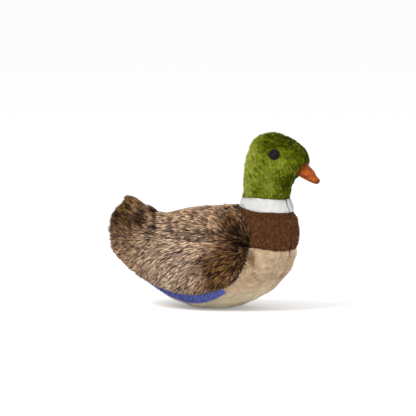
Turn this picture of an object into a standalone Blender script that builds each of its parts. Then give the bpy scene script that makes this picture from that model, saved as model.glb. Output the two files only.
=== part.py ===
"""A stuffed plush mallard duck, about 220 mm long, built from sewn panels over a filled form.

Frame: metres, +Z up, +X towards the beak, +Y to the duck's left. The origin is the middle of
the flat patch that the belly rests on. The body is a loft of upright rings along X, and the neck
and head are a loft of level rings along Z. Both are offset to give the fabric's two faces and
the filling, and outlines drawn in the side view cut them into panels.
"""

import math

import bmesh
import bpy
import numpy as np
from mathutils import Matrix, Vector

MM = 0.001

# Body: a long form that swells in the middle, from the tail end to the breast.
BODY_LENGTH = 193.5 * MM
BODY_HEIGHT = 104.0 * MM
BODY_WIDTH = 91.0 * MM
REST_DEPTH = 0.5 * MM
REST_PLACE_SHARE = 0.551

# Neck and head.
HEAD_RISE = 94.0 * MM
HEAD_LENGTH = 68.0 * MM
HEAD_WIDTH = 52.0 * MM
NECK_PLACE_SHARE = 0.849
NECK_FOOT_SHARE = 0.81
COLLAR_DEPTH = 13.0 * MM

# Beak: a small stuffed cone of suede cloth that points forward and down.
BEAK_LENGTH = 29.0 * MM
BEAK_HEIGHT = 15.0 * MM
BEAK_WIDTH = 19.0 * MM
BEAK_TILT = math.radians(42.4)
BEAK_SEAT_SHARES = (0.494, 0.682)
BEAK_SEAM_SHARE = -0.2
BEAK_CLOTH = 1.2 * MM

# Embroidered eyes.
EYE_DIAMETER = 11.0 * MM
EYE_THICKNESS = 1.2 * MM
EYE_PLACE_SHARES = (0.272, 0.783)

# Wings: leaf-shaped flaps sewn to the body's side along their upper edge.
WING_LENGTH = 123.0 * MM
WING_DEPTH = 62.0 * MM
WING_FRONT_SHARES = (0.833, 0.635)
WING_LINING = 0.9 * MM
WING_BATTING = 2.2 * MM
WING_FUR = 3.2 * MM
WING_BAND = 1.8 * MM
WING_EDGE = 0.6 * MM

# Cloth, seams and filling.
CLOTH_THICKNESS = 3.2 * MM
SEAM_GAP = 0.3 * MM
FIT_GAP = 0.3 * MM
WING_GAP = 0.8 * MM

# Squeaker: a small bellows with a stiff cap that holds the reed.
SQUEAKER_DIAMETER = 36.0 * MM
SQUEAKER_HEIGHT = 18.0 * MM
SQUEAKER_WALL = 0.9 * MM
SQUEAKER_CAP = 2.5 * MM
SQUEAKER_FOLD = 2.4 * MM
SQUEAKER_FOLDS = 4
SQUEAKER_PLACE_SHARE = 0.5
SQUEAKER_REST_SHARE = 0.1
POCKET_GAP = 0.8 * MM
REED_DIAMETER = 9.0 * MM
REED_BORE = 4.0 * MM
REED_LENGTH = 8.0 * MM
REED_LIP = 1.2 * MM

# How finely the round forms are divided: rings along each, and sides around.
FINE_BODY_RINGS = 32
FINE_HEAD_RINGS = 22
FINE_SIDES = 24
COARSE_BODY_RINGS = 22
COARSE_HEAD_RINGS = 18
COARSE_SIDES = 18
BEAK_RINGS = 9
BEAK_SIDES = 18
TURN_STEPS = 24
WING_COLUMNS = 19
WING_ROWS = 8
DRAPE_STEPS = 40
BAND_ROWS = 3
# How many columns of the wing's grid the batting and the band stop short of each end.
BATTING_INSET = 2
BAND_INSET = 3
OUTLINE_POINTS = 9

# Superellipse exponents of the sections: 2 is an ellipse and more is squarer.
BODY_SQUARENESS = 2.3
HEAD_SQUARENESS = 2.1
BEAK_SQUARENESS = 2.0
# How much narrower each section is at its top (body) or front (head) than at its middle.
BODY_NARROWING = 0.1
HEAD_NARROWING = 0.12

# Body rings: place along the length from the tail, bottom and top as shares of the height, and
# half width as a share of half the body's width.
BODY_RING_SHARES = (
    (0.000, 0.690, 0.810, 0.09),
    (0.008, 0.590, 0.900, 0.26),
    (0.033, 0.465, 0.965, 0.40),
    (0.070, 0.393, 1.010, 0.50),
    (0.112, 0.337, 1.025, 0.57),
    (0.158, 0.284, 0.985, 0.63),
    (0.216, 0.230, 0.925, 0.71),
    (0.278, 0.165, 0.908, 0.80),
    (0.350, 0.092, 0.930, 0.89),
    (0.433, 0.032, 0.962, 0.96),
    (0.516, -0.002, 0.982, 1.00),
    (0.599, -0.002, 0.992, 1.01),
    (0.682, 0.030, 1.000, 1.00),
    (0.764, 0.084, 1.003, 0.975),
    (0.832, 0.150, 1.003, 0.93),
    (0.890, 0.240, 1.000, 0.865),
    (0.935, 0.340, 0.985, 0.77),
    (0.966, 0.430, 0.957, 0.64),
    (0.987, 0.520, 0.915, 0.465),
    (0.997, 0.605, 0.860, 0.28),
    (1.000, 0.680, 0.795, 0.11),
)

# Head rings: height as a share of the rise, back and front as shares of the head's length from
# the neck's axis, and half width as a share of half the head's width.
HEAD_RING_SHARES = (
    (0.000, -0.440, 0.410, 1.17),
    (0.085, -0.408, 0.405, 1.13),
    (0.150, -0.385, 0.395, 1.08),
    (0.205, -0.362, 0.382, 1.02),
    (0.255, -0.345, 0.366, 0.97),
    (0.310, -0.335, 0.356, 0.94),
    (0.385, -0.340, 0.366, 0.95),
    (0.440, -0.337, 0.386, 0.96),
    (0.490, -0.334, 0.436, 0.975),
    (0.530, -0.332, 0.498, 0.985),
    (0.630, -0.326, 0.612, 1.00),
    (0.705, -0.312, 0.662, 1.00),
    (0.780, -0.280, 0.628, 0.97),
    (0.845, -0.248, 0.565, 0.90),
    (0.905, -0.200, 0.448, 0.75),
    (0.945, -0.150, 0.350, 0.61),
    (0.980, -0.062, 0.226, 0.37),
    (0.998, 0.030, 0.130, 0.13),
)

# Beak rings: place along the length, middle above the axis and half height as shares of half
# the height, and half width as a share of half the width.
BEAK_RING_SHARES = (
    (0.00, 0.03, 1.02, 0.98),
    (0.35, -0.03, 0.98, 1.00),
    (0.58, -0.09, 0.82, 0.84),
    (0.73, -0.12, 0.64, 0.67),
    (0.86, -0.13, 0.46, 0.49),
    (0.95, -0.09, 0.28, 0.31),
    (1.00, -0.04, 0.10, 0.11),
)

# Seams in the side view, as shares of the body's length from the tail and of its height.
COLLAR_FOOT_SHARES = (
    (0.540, 1.280),
    (0.670, 1.035),
    (0.700, 0.995),
    (0.760, 0.985),
    (0.850, 0.966),
    (0.920, 0.955),
    (0.980, 0.945),
    (1.150, 0.935),
)
FUR_FRONT_SHARES = (
    (0.700, 0.995),
    (0.735, 0.970),
    (0.765, 0.930),
    (0.800, 0.850),
    (0.824, 0.750),
    (0.833, 0.635),
)
BREAST_FOOT_SHARES = (
    (0.833, 0.635),
    (0.900, 0.618),
    (0.950, 0.598),
    (1.000, 0.575),
    (1.150, 0.540),
)
FUR_FOOT_SHARES = (
    (0.833, 0.635),
    (0.700, 0.655),
    (0.500, 0.680),
    (0.350, 0.690),
    (0.270, 0.600),
    (0.222, 0.450),
    (0.215, 0.300),
    (0.235, 0.150),
    (0.260, 0.000),
)
TAIL_FRONT_SHARES = (
    (0.240, 1.250),
    (0.225, 0.950),
    (0.195, 0.800),
    (0.140, 0.670),
    (0.060, 0.590),
    (-0.100, 0.540),
)
SIDE_MARGIN_SHARE = 0.25

# Wing outline: shares of the wing's length behind its front point and of its depth below it.
WING_TOP_SHARES = (
    (0.00, 0.00),
    (0.20, -0.02),
    (0.45, -0.05),
    (0.65, -0.08),
    (0.77, -0.07),
    (0.88, 0.06),
    (0.96, 0.24),
    (1.00, 0.42),
)
WING_FOOT_SHARES = (
    (0.00, 0.03),
    (0.03, 0.20),
    (0.12, 0.48),
    (0.25, 0.76),
    (0.40, 0.92),
    (0.55, 0.94),
    (0.75, 0.82),
    (0.92, 0.62),
    (1.00, 0.47),
)
# Where the fur ends and the blue band begins, from the wing's top edge to its foot.
WING_FUR_SHARES = (0.995, 0.995, 0.99, 0.955, 0.87, 0.845, 0.875, 0.95, 0.995)
WING_END_SHARE = 0.012

BODY_HALF_WIDTH = BODY_WIDTH / 2
HEAD_HALF_WIDTH = HEAD_WIDTH / 2
NECK_X = (NECK_PLACE_SHARE - REST_PLACE_SHARE) * BODY_LENGTH
NECK_FOOT = NECK_FOOT_SHARE * BODY_HEIGHT
SIDES = {"right": -1.0, "left": 1.0}


def material(name, colour, roughness, metallic=0.0):
    """A Principled material of one colour."""
    made = bpy.data.materials.get(name) or bpy.data.materials.new(name)
    made.use_nodes = True
    shader = made.node_tree.nodes["Principled BSDF"]
    shader.inputs["Base Color"].default_value = (*colour, 1.0)
    shader.inputs["Roughness"].default_value = roughness
    shader.inputs["Metallic"].default_value = metallic
    made.diffuse_color = (*colour, 1.0)
    return made


def green_velour():
    return material("green_velour", (0.13, 0.22, 0.02), 0.9)


def white_velour():
    return material("white_velour", (0.80, 0.80, 0.77), 0.9)


def brown_velour():
    return material("brown_velour", (0.09, 0.035, 0.02), 0.9)


def cream_velour():
    return material("cream_velour", (0.62, 0.49, 0.32), 0.9)


def long_pile_fur():
    return material("long_pile_fur", (0.28, 0.19, 0.11), 1.0)


def blue_velour():
    return material("blue_velour", (0.06, 0.07, 0.33), 0.8)


def tan_lining():
    return material("tan_lining", (0.45, 0.34, 0.22), 0.9)


def orange_suede():
    return material("orange_suede", (0.56, 0.15, 0.03), 0.85)


def black_thread():
    return material("black_thread", (0.012, 0.012, 0.015), 0.6)


def white_filling():
    return material("white_filling", (0.85, 0.85, 0.83), 1.0)


def squeaker_vinyl():
    return material("squeaker_vinyl", (0.75, 0.74, 0.70), 0.45)


def squeaker_plastic():
    return material("squeaker_plastic", (0.80, 0.78, 0.72), 0.35)


def curve_through(rows, count):
    """A smooth curve through the rows of a table, read at count even steps (Catmull-Rom)."""
    rows = np.array(rows, float)
    if rows.ndim == 1:
        rows = rows[:, None]
    padded = np.vstack([2 * rows[0] - rows[1], rows, 2 * rows[-1] - rows[-2]])
    steps = np.linspace(0, len(rows) - 1, count)
    first = np.minimum(steps.astype(int), len(rows) - 2)
    along = (steps - first)[:, None]
    a, b, c, d = (padded[first + k] for k in range(4))
    return 0.5 * (
        2 * b
        + (c - a) * along
        + (2 * a - 5 * b + 4 * c - d) * along**2
        + (3 * b - a - 3 * c + d) * along**3
    )


def section(sides, squareness):
    """Up and sideways parts of a superellipse, both between -1 and 1, as two columns."""
    turn = np.linspace(0, 2 * math.pi, sides, endpoint=False)
    up, side = np.cos(turn), np.sin(turn)
    power = 2 / squareness
    return np.sign(up) * np.abs(up) ** power, np.sign(side) * np.abs(side) ** power


def body_table(count):
    """Body rings as x, bottom, top and half width, in metres."""
    rings = curve_through(BODY_RING_SHARES, count)
    x = (rings[:, 0] - REST_PLACE_SHARE) * BODY_LENGTH
    bottom, top = rings[:, 1] * BODY_HEIGHT - REST_DEPTH, rings[:, 2] * BODY_HEIGHT
    return x, bottom, top, rings[:, 3] * BODY_HALF_WIDTH


def body_rings(count, sides):
    """The points of the body's rings, each in an upright plane."""
    x, bottom, top, half = body_table(count)
    up, side = section(sides, BODY_SQUARENESS)
    middle, rise = (top + bottom) / 2, (top - bottom) / 2
    points = np.empty((len(x), len(up), 3))
    points[..., 0] = x[:, None]
    points[..., 1] = half[:, None] * side * (1 - BODY_NARROWING * up)
    points[..., 2] = middle[:, None] + rise[:, None] * up
    return points


def head_rings(count, sides):
    """The points of the neck's and head's rings, each in a level plane."""
    rings = curve_through(HEAD_RING_SHARES, count)
    front, side = section(sides, HEAD_SQUARENESS)
    middle = NECK_X + (rings[:, 1] + rings[:, 2]) / 2 * HEAD_LENGTH
    reach = (rings[:, 2] - rings[:, 1]) / 2 * HEAD_LENGTH
    half = rings[:, 3] * HEAD_HALF_WIDTH
    points = np.empty((len(rings), len(front), 3))
    points[..., 0] = middle[:, None] + reach[:, None] * front
    points[..., 1] = half[:, None] * side * (1 - HEAD_NARROWING * front)
    points[..., 2] = NECK_FOOT + rings[:, :1] * HEAD_RISE
    return points


def beak_axis():
    """The beak's root inside the head, its direction and the direction across it, in X and Z."""
    root = Vector(
        (
            NECK_X + BEAK_SEAT_SHARES[0] * HEAD_LENGTH,
            0,
            NECK_FOOT + BEAK_SEAT_SHARES[1] * HEAD_RISE,
        )
    )
    along = Vector((math.cos(BEAK_TILT), 0, -math.sin(BEAK_TILT)))
    across = Vector((math.sin(BEAK_TILT), 0, math.cos(BEAK_TILT)))
    return root, along, across


def beak_rings():
    """The points of the beak's rings, square to its axis."""
    rings = curve_through(BEAK_RING_SHARES, BEAK_RINGS)
    up, side = section(BEAK_SIDES, BEAK_SQUARENESS)
    root, along, across = (np.array(v) for v in beak_axis())
    height = (rings[:, 1:2] + rings[:, 2:3] * up) * BEAK_HEIGHT / 2
    points = root + rings[:, :1, None] * BEAK_LENGTH * along + height[..., None] * across
    points[..., 1] += rings[:, 3:] * side * BEAK_WIDTH / 2
    return points


def body_side(x, z, offset):
    """Points at a distance outside the body's left side, for places in the side view.

    The half width comes from the same rings and superellipse as the body, and the offset runs
    along the surface's normal, from differences over a small step.
    """
    stations, bottom, top, half = body_table(FINE_BODY_RINGS)

    def half_width(x, z):
        low, high = np.interp(x, stations, bottom), np.interp(x, stations, top)
        up = (z - (low + high) / 2) / ((high - low) / 2)
        room = np.clip(1 - np.abs(up) ** BODY_SQUARENESS, 0, 1)
        wide = np.interp(x, stations, half)
        return wide * room ** (1 / BODY_SQUARENESS) * (1 - BODY_NARROWING * up)

    step = FIT_GAP
    y = half_width(x, z)
    slope_x = (half_width(x + step, z) - half_width(x - step, z)) / (2 * step)
    slope_z = (half_width(x, z + step) - half_width(x, z - step)) / (2 * step)
    normal = np.stack([-slope_x, np.ones_like(y), -slope_z], -1)
    normal /= np.linalg.norm(normal, axis=-1, keepdims=True)
    return np.stack([x, y, z], -1) + normal * np.asarray(offset)[..., None]


def link(name, mesh, collection, finish=None):
    """A new object that holds the mesh, in the collection."""
    made = bpy.data.objects.new(name, mesh)
    collection.objects.link(made)
    if finish:
        mesh.materials.clear()
        mesh.materials.append(finish)
    return made


def hide(made):
    """Marks a cutter or guide."""
    made.hide_render = True
    made.display_type = "WIRE"
    return made


def mesh_of(name, points, faces):
    """A mesh of these points and faces, in triangles that point outwards."""
    mesh = bpy.data.meshes.new(name)
    mesh.from_pydata([tuple(p) for p in points], [], faces)
    shape = bmesh.new()
    shape.from_mesh(mesh)
    bmesh.ops.triangulate(shape, faces=shape.faces)
    bmesh.ops.recalc_face_normals(shape, faces=shape.faces)
    shape.to_mesh(mesh)
    shape.free()
    mesh.shade_smooth()
    return mesh


def loft_mesh(name, rings):
    """The closed surface over a row of rings with as many points each, with flat end caps."""
    count, sides = rings.shape[:2]
    index = np.arange(count * sides).reshape(count, sides)
    ahead = np.roll(index, -1, axis=1)
    faces = np.stack([index[:-1], ahead[:-1], ahead[1:], index[1:]], -1).reshape(-1, 4).tolist()
    faces += [index[0].tolist(), index[-1].tolist()]
    return mesh_of(name, rings.reshape(-1, 3), faces)


def sheet_mesh(name, low, high):
    """The closed surface between two grids of points, joined along their edges."""
    rows, columns = low.shape[:2]
    index = np.arange(rows * columns).reshape(rows, columns)
    quads = np.stack([index[:-1, :-1], index[1:, :-1], index[1:, 1:], index[:-1, 1:]], -1)
    quads = quads.reshape(-1, 4)
    rim = np.concatenate([index[0], index[1:, -1], index[-1, -2::-1], index[-2:0:-1, 0]])
    beside = np.roll(rim, -1)
    above = rows * columns
    faces = quads.tolist() + (quads + above).tolist()
    faces += np.stack([rim, beside, beside + above, rim + above], -1).tolist()
    return mesh_of(name, np.vstack([low.reshape(-1, 3), high.reshape(-1, 3)]), faces)


def boolean(made, operation, other):
    """Adds a Boolean modifier."""
    modifier = made.modifiers.new(operation.lower() + "_" + other.name, "BOOLEAN")
    modifier.operation = operation
    modifier.object = other
    modifier.solver = "EXACT"


def offset(made, distance):
    """Moves the whole surface out by a distance, or in by a negative one."""
    modifier = made.modifiers.new("offset", "DISPLACE")
    modifier.mid_level = 0.0
    modifier.strength = distance


def evaluated_mesh(made):
    """The object's mesh with its modifiers applied."""
    bpy.context.view_layer.update()
    graph = bpy.context.evaluated_depsgraph_get()
    return bpy.data.meshes.new_from_object(made.evaluated_get(graph))


def stuffed_form(name, distance, fine, collection):
    """The body and head joined, with the surface moved out by a distance."""
    if fine:
        body, head = body_rings(FINE_BODY_RINGS, FINE_SIDES), head_rings(FINE_HEAD_RINGS, FINE_SIDES)
    else:
        body = body_rings(COARSE_BODY_RINGS, COARSE_SIDES)
        head = head_rings(COARSE_HEAD_RINGS, COARSE_SIDES)
    body_mesh = loft_mesh(name + "_body", body)
    head_mesh = loft_mesh(name + "_head", head)
    body = hide(link(name + "_body", body_mesh, collection))
    head = hide(link(name + "_head", head_mesh, collection))
    if distance:
        offset(body, distance)
        offset(head, distance)
    boolean(body, "UNION", head)
    return hide(link(name, evaluated_mesh(body), collection))


def head_form(name, collection, finish=None):
    """The neck and head alone."""
    rings = head_rings(FINE_HEAD_RINGS, FINE_SIDES)
    return link(name, loft_mesh(name, rings), collection, finish)


def side_line(shares, count=OUTLINE_POINTS):
    """A smooth line in the side view, as rows of x and z."""
    line = curve_through(shares, count)
    x = (line[:, 0] - REST_PLACE_SHARE) * BODY_LENGTH
    return np.stack([x, line[:, 1] * BODY_HEIGHT], -1)


def inset_outline(points, distance):
    """A closed outline drawn in by a distance, along the bisector at each corner."""
    points = np.array(points)
    ahead = np.roll(points, -1, 0)
    edge = ahead - points
    area = (points[:, 0] * ahead[:, 1] - points[:, 1] * ahead[:, 0]).sum()
    inward = np.stack([-edge[:, 1], edge[:, 0]], -1) * np.sign(area)
    inward /= np.linalg.norm(edge, axis=1, keepdims=True)
    before = np.roll(inward, 1, 0)
    share = 1 + (before * inward).sum(1, keepdims=True)
    return points + (before + inward) * distance / share


def outline_cutter(name, outline, near, far, collection):
    """A solid with this outline in the side view, between two distances from the middle."""
    flat = bpy.data.curves.new(name, "CURVE")
    flat.dimensions = "2D"
    flat.fill_mode = "BOTH"
    flat.extrude = abs(far - near) / 2
    spline = flat.splines.new("POLY")
    spline.points.add(len(outline) - 1)
    for point, (x, z) in zip(spline.points, outline):
        point.co = (x, z, 0, 1)
    spline.use_cyclic_u = True
    drawn = link(name + "_outline", flat, collection)
    drawn.rotation_euler = (math.pi / 2, 0, 0)
    drawn.location = (0, (near + far) / 2, 0)
    mesh = evaluated_mesh(drawn)
    mesh.transform(drawn.matrix_world)
    bpy.data.objects.remove(drawn)
    shape = bmesh.new()
    shape.from_mesh(mesh)
    bmesh.ops.remove_doubles(shape, verts=shape.verts, dist=FIT_GAP / 10)
    bmesh.ops.recalc_face_normals(shape, faces=shape.faces)
    shape.to_mesh(mesh)
    shape.free()
    return hide(link(name, mesh, collection))


def panel_outlines():
    """Each panel's region in the side view, drawn in by half a seam gap."""
    collar_foot = side_line(COLLAR_FOOT_SHARES)
    collar_top = collar_foot[2:] + (0, COLLAR_DEPTH)
    collar_top[0, 0] = collar_foot[0, 0]
    fur_front = side_line(FUR_FRONT_SHARES)
    breast_foot = side_line(BREAST_FOOT_SHARES)
    fur_foot = side_line(FUR_FOOT_SHARES, 2 * OUTLINE_POINTS)
    tail_front = side_line(TAIL_FRONT_SHARES)
    left = tail_front[-1, 0]
    right = collar_foot[-1, 0]
    floor = -SEAM_GAP / 2
    fur_foot[-1, 1] = floor
    crown = NECK_FOOT + (1 + SIDE_MARGIN_SHARE) * HEAD_RISE
    nape = np.argmin(np.abs(collar_foot[:, 0] - fur_front[0, 0]))
    collar_foot[nape] = fur_front[0]
    regions = {
        "head": [*collar_top, (right, crown), (collar_top[0, 0], crown)],
        "collar": [*collar_foot, *collar_top[::-1]],
        "chest": [*fur_front, *breast_foot[1:], *collar_foot[:nape:-1]],
        "belly": [
            *breast_foot[::-1],
            *fur_foot[1:],
            (right, floor),
        ],
        "back": [
            *collar_foot[: nape + 1],
            *fur_front[1:],
            *fur_foot[1:],
            (left, floor),
            *tail_front[::-1],
        ],
        "tail": [*tail_front, (left, tail_front[0, 1])],
    }
    return {name: inset_outline(region, SEAM_GAP / 2) for name, region in regions.items()}


def make_panels(parts, cutters):
    """The sewn panels: each is the form's outer layer inside its region, on one side."""
    outer = stuffed_form("outer_form", 0, True, cutters)
    inner = stuffed_form("inner_form", -CLOTH_THICKNESS, False, cutters)
    finishes = {
        "head": green_velour(),
        "collar": white_velour(),
        "chest": brown_velour(),
        "belly": cream_velour(),
        "back": long_pile_fur(),
        "tail": long_pile_fur(),
    }
    for name, outline in panel_outlines().items():
        for side, sign in SIDES.items():
            region = outline_cutter(
                f"{name}_{side}_region", outline, sign * SEAM_GAP / 2, sign * BODY_WIDTH, cutters
            )
            panel = link(f"{name}_{side}", outer.data.copy(), parts, finishes[name])
            boolean(panel, "INTERSECT", region)
            boolean(panel, "DIFFERENCE", inner)


def turned(name, profile, collection, finish, closed=False):
    """A turned piece: a profile in X and Z, run down its outer side, about the Z axis."""
    mesh = bpy.data.meshes.new(name)
    ends = [(i, i + 1) for i in range(len(profile) - 1)]
    if closed:
        ends.append((len(profile) - 1, 0))
    mesh.from_pydata([(x, 0, z) for x, z in profile], ends, [])
    made = link(name, mesh, collection, finish)
    screw = made.modifiers.new("turn", "SCREW")
    screw.axis = "Z"
    screw.angle = 2 * math.pi
    screw.steps = TURN_STEPS
    screw.render_steps = TURN_STEPS
    screw.use_merge_vertices = True
    screw.merge_threshold = FIT_GAP / 30
    screw.use_smooth_shade = True
    return made


def squeaker_place():
    """The middle of the squeaker's foot."""
    x = (SQUEAKER_PLACE_SHARE - REST_PLACE_SHARE) * BODY_LENGTH
    return Vector((x, 0, SQUEAKER_REST_SHARE * BODY_HEIGHT))


def make_squeaker(parts, holder):
    """A vinyl bellows that stands on the lower filling, under a cap with a reed in its bore."""
    radius = SQUEAKER_DIAMETER / 2
    waist = radius - SQUEAKER_FOLD
    top = SQUEAKER_HEIGHT - SQUEAKER_CAP - FIT_GAP
    pitch = top / SQUEAKER_FOLDS
    outside = []
    for fold in range(SQUEAKER_FOLDS):
        outside += [(waist, top - fold * pitch), (radius, top - (fold + 0.5) * pitch)]
    outside.append((waist, 0))
    inside = [(x - SQUEAKER_WALL, z) for x, z in outside[::-1]]
    inside[0] = (waist - SQUEAKER_WALL, SQUEAKER_WALL)
    profile = [(0, SQUEAKER_WALL), *inside, *outside, (0, 0)]
    bellows = turned("squeaker_bellows", profile, parts, squeaker_vinyl())
    bellows.location = squeaker_place()

    bore = REED_DIAMETER / 2 + FIT_GAP
    plate = [(bore, SQUEAKER_CAP), (waist, SQUEAKER_CAP), (waist, 0), (bore, 0)]
    cap = turned("squeaker_cap", plate, parts, squeaker_plastic(), closed=True)
    cap.parent = holder

    barrel, hole = REED_DIAMETER / 2, REED_BORE / 2
    reed_profile = [
        (hole, SQUEAKER_CAP + REED_LIP),
        (barrel + REED_LIP, SQUEAKER_CAP + REED_LIP),
        (barrel + REED_LIP, SQUEAKER_CAP + FIT_GAP),
        (barrel, SQUEAKER_CAP + FIT_GAP),
        (barrel, SQUEAKER_CAP - REED_LENGTH),
        (hole, SQUEAKER_CAP - REED_LENGTH),
    ]
    reed = turned("squeaker_reed", reed_profile, parts, squeaker_plastic(), closed=True)
    reed.parent = holder


def make_filling(parts, cutters):
    """The polyester filling: the head's, and the body's below and above the squeaker."""
    depth = CLOTH_THICKNESS + FIT_GAP
    core = stuffed_form("filling_form", -depth, False, cutters)
    neck_seam = side_line(COLLAR_FOOT_SHARES)
    left, right = neck_seam[0, 0], neck_seam[-1, 0]
    crown = NECK_FOOT + (1 + SIDE_MARGIN_SHARE) * HEAD_RISE
    tail = -BODY_LENGTH
    foot = squeaker_place().z - FIT_GAP
    regions = {
        "head_filling": [*neck_seam, (right, crown), (left, crown)],
        "body_filling_upper": [
            (tail, foot),
            (right, foot),
            *neck_seam[::-1],
            (tail, neck_seam[0, 1]),
        ],
        "body_filling_lower": [(tail, -foot), (right, -foot), (right, foot), (tail, foot)],
    }
    pocket = bmesh.new()
    height = SQUEAKER_HEIGHT + REED_LIP + FIT_GAP
    bmesh.ops.create_cone(
        pocket,
        cap_ends=True,
        segments=TURN_STEPS,
        radius1=SQUEAKER_DIAMETER / 2 + POCKET_GAP,
        radius2=SQUEAKER_DIAMETER / 2 + POCKET_GAP,
        depth=2 * height,
        matrix=Matrix.Translation(squeaker_place()),
    )
    mesh = bpy.data.meshes.new("pocket")
    pocket.to_mesh(mesh)
    pocket.free()
    pocket = hide(link("pocket", mesh, cutters))
    for name, outline in regions.items():
        region = outline_cutter(
            name + "_region",
            inset_outline(outline, FIT_GAP / 2),
            -BODY_WIDTH,
            BODY_WIDTH,
            cutters,
        )
        filling = link(name, core.data.copy(), parts, white_filling())
        boolean(filling, "INTERSECT", region)
        if name == "body_filling_upper":
            boolean(filling, "DIFFERENCE", pocket)


def make_beak(parts, cutters):
    """An upper and a lower cloth with a filled core, all seated on the face."""
    face = hide(head_form("face_seat", cutters))
    offset(face, FIT_GAP)
    core = hide(link("beak_core", loft_mesh("beak_core", beak_rings()), cutters))
    offset(core, -BEAK_CLOTH)
    root, along, across = beak_axis()
    seam = root + BEAK_SEAM_SHARE * BEAK_HEIGHT * across
    half = SEAM_GAP / 2
    for name, sign in (("beak_upper", 1), ("beak_lower", -1)):
        edge = seam + sign * half * across
        corners = (
            edge - BEAK_LENGTH * along,
            edge + 2 * BEAK_LENGTH * along,
            edge + 2 * BEAK_LENGTH * along + sign * BEAK_LENGTH * across,
            edge - BEAK_LENGTH * along + sign * BEAK_LENGTH * across,
        )
        region = outline_cutter(
            name + "_region", [(c.x, c.z) for c in corners], -BEAK_WIDTH, BEAK_WIDTH, cutters
        )
        cloth = link(name, loft_mesh(name, beak_rings()), parts, orange_suede())
        boolean(cloth, "INTERSECT", region)
        boolean(cloth, "DIFFERENCE", core)
        boolean(cloth, "DIFFERENCE", face)
    filling = link("beak_filling", loft_mesh("beak_filling", beak_rings()), parts, white_filling())
    offset(filling, -BEAK_CLOTH - FIT_GAP)
    boolean(filling, "DIFFERENCE", face)


def make_eyes(parts, cutters):
    """Round embroidered patches that follow the head."""
    x = NECK_X + EYE_PLACE_SHARES[0] * HEAD_LENGTH
    z = NECK_FOOT + EYE_PLACE_SHARES[1] * HEAD_RISE
    skin = hide(head_form("eye_seat", cutters))
    offset(skin, FIT_GAP)
    for side, sign in SIDES.items():
        disc = bmesh.new()
        bmesh.ops.create_cone(
            disc,
            cap_ends=True,
            segments=TURN_STEPS,
            radius1=EYE_DIAMETER / 2,
            radius2=EYE_DIAMETER / 2,
            depth=HEAD_HALF_WIDTH,
            matrix=Matrix.Translation((x, sign * HEAD_HALF_WIDTH, z))
            @ Matrix.Rotation(math.pi / 2, 4, "X"),
        )
        mesh = bpy.data.meshes.new(f"eye_{side}_region")
        disc.to_mesh(mesh)
        disc.free()
        region = hide(link(f"eye_{side}_region", mesh, cutters))
        eye = head_form(f"eye_{side}", parts, black_thread())
        offset(eye, FIT_GAP + EYE_THICKNESS)
        boolean(eye, "INTERSECT", region)
        boolean(eye, "DIFFERENCE", skin)


def wing_grid():
    """The wing's top edge, its foot and the fur's edge between them, in the side view."""
    front = side_line([WING_FRONT_SHARES, WING_FRONT_SHARES], 2)[0]
    size = np.array([-WING_LENGTH, -WING_DEPTH])
    top = front + curve_through(WING_TOP_SHARES, WING_COLUMNS) * size
    foot = front + curve_through(WING_FOOT_SHARES, WING_COLUMNS) * size
    fur = curve_through(WING_FUR_SHARES, WING_COLUMNS)
    return top, foot, np.minimum(fur, 1 - WING_END_SHARE)


def draped(top, foot, first, last, rows):
    """Rows of places between two shares of the way from one line to another, in the side view.

    The rows are evenly spaced on the body's side, which turns under towards the foot.
    """
    first, last = (np.ravel(share) + np.zeros(len(top)) for share in (first, last))
    share = first + (last - first) * np.linspace(0, 1, DRAPE_STEPS)[:, None]
    places = top + (foot - top) * share[..., None]
    points = body_side(places[..., 0], places[..., 1], np.zeros(share.shape))
    steps = np.linalg.norm(np.diff(points, axis=0), axis=-1)
    run = np.vstack([np.zeros(steps.shape[1]), np.cumsum(steps, 0)])
    even = np.linspace(0, 1, rows)
    columns = [
        np.interp(even * run[-1, k], run[:, k], share[:, k]) for k in range(run.shape[1])
    ]
    return top + (foot - top) * np.stack(columns, 1)[..., None]


def swelling(rows, columns, edge, middle):
    """A thickness that swells from the edges of a grid to its middle."""
    across = np.sin(np.linspace(0, math.pi, rows))[:, None]
    along = np.sin(np.linspace(0, math.pi, columns))[None, :]
    return edge + (middle - edge) * np.sqrt(across * along)


def hinge_places():
    """The middle and the direction of the line that the left wing turns on.

    It follows the straight front half of the wing's top edge: the line of best fit through it in
    plan and in side view, moved out and up until no point of that edge lies outside or above it.
    """
    top, _, _ = wing_grid()
    straight = top[: WING_COLUMNS // 2 + 1]
    edge = body_side(straight[:, 0], straight[:, 1], WING_GAP)
    x = edge[:, 0]
    middle, along = [x.mean()], [1.0]
    for heights in (edge[:, 1], edge[:, 2]):
        slope, level = np.polyfit(x, heights, 1)
        clear = (heights - slope * x - level).max()
        middle.append(slope * x.mean() + level + clear)
        along.append(slope)
    return Vector(middle), Vector(along).normalized()


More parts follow.
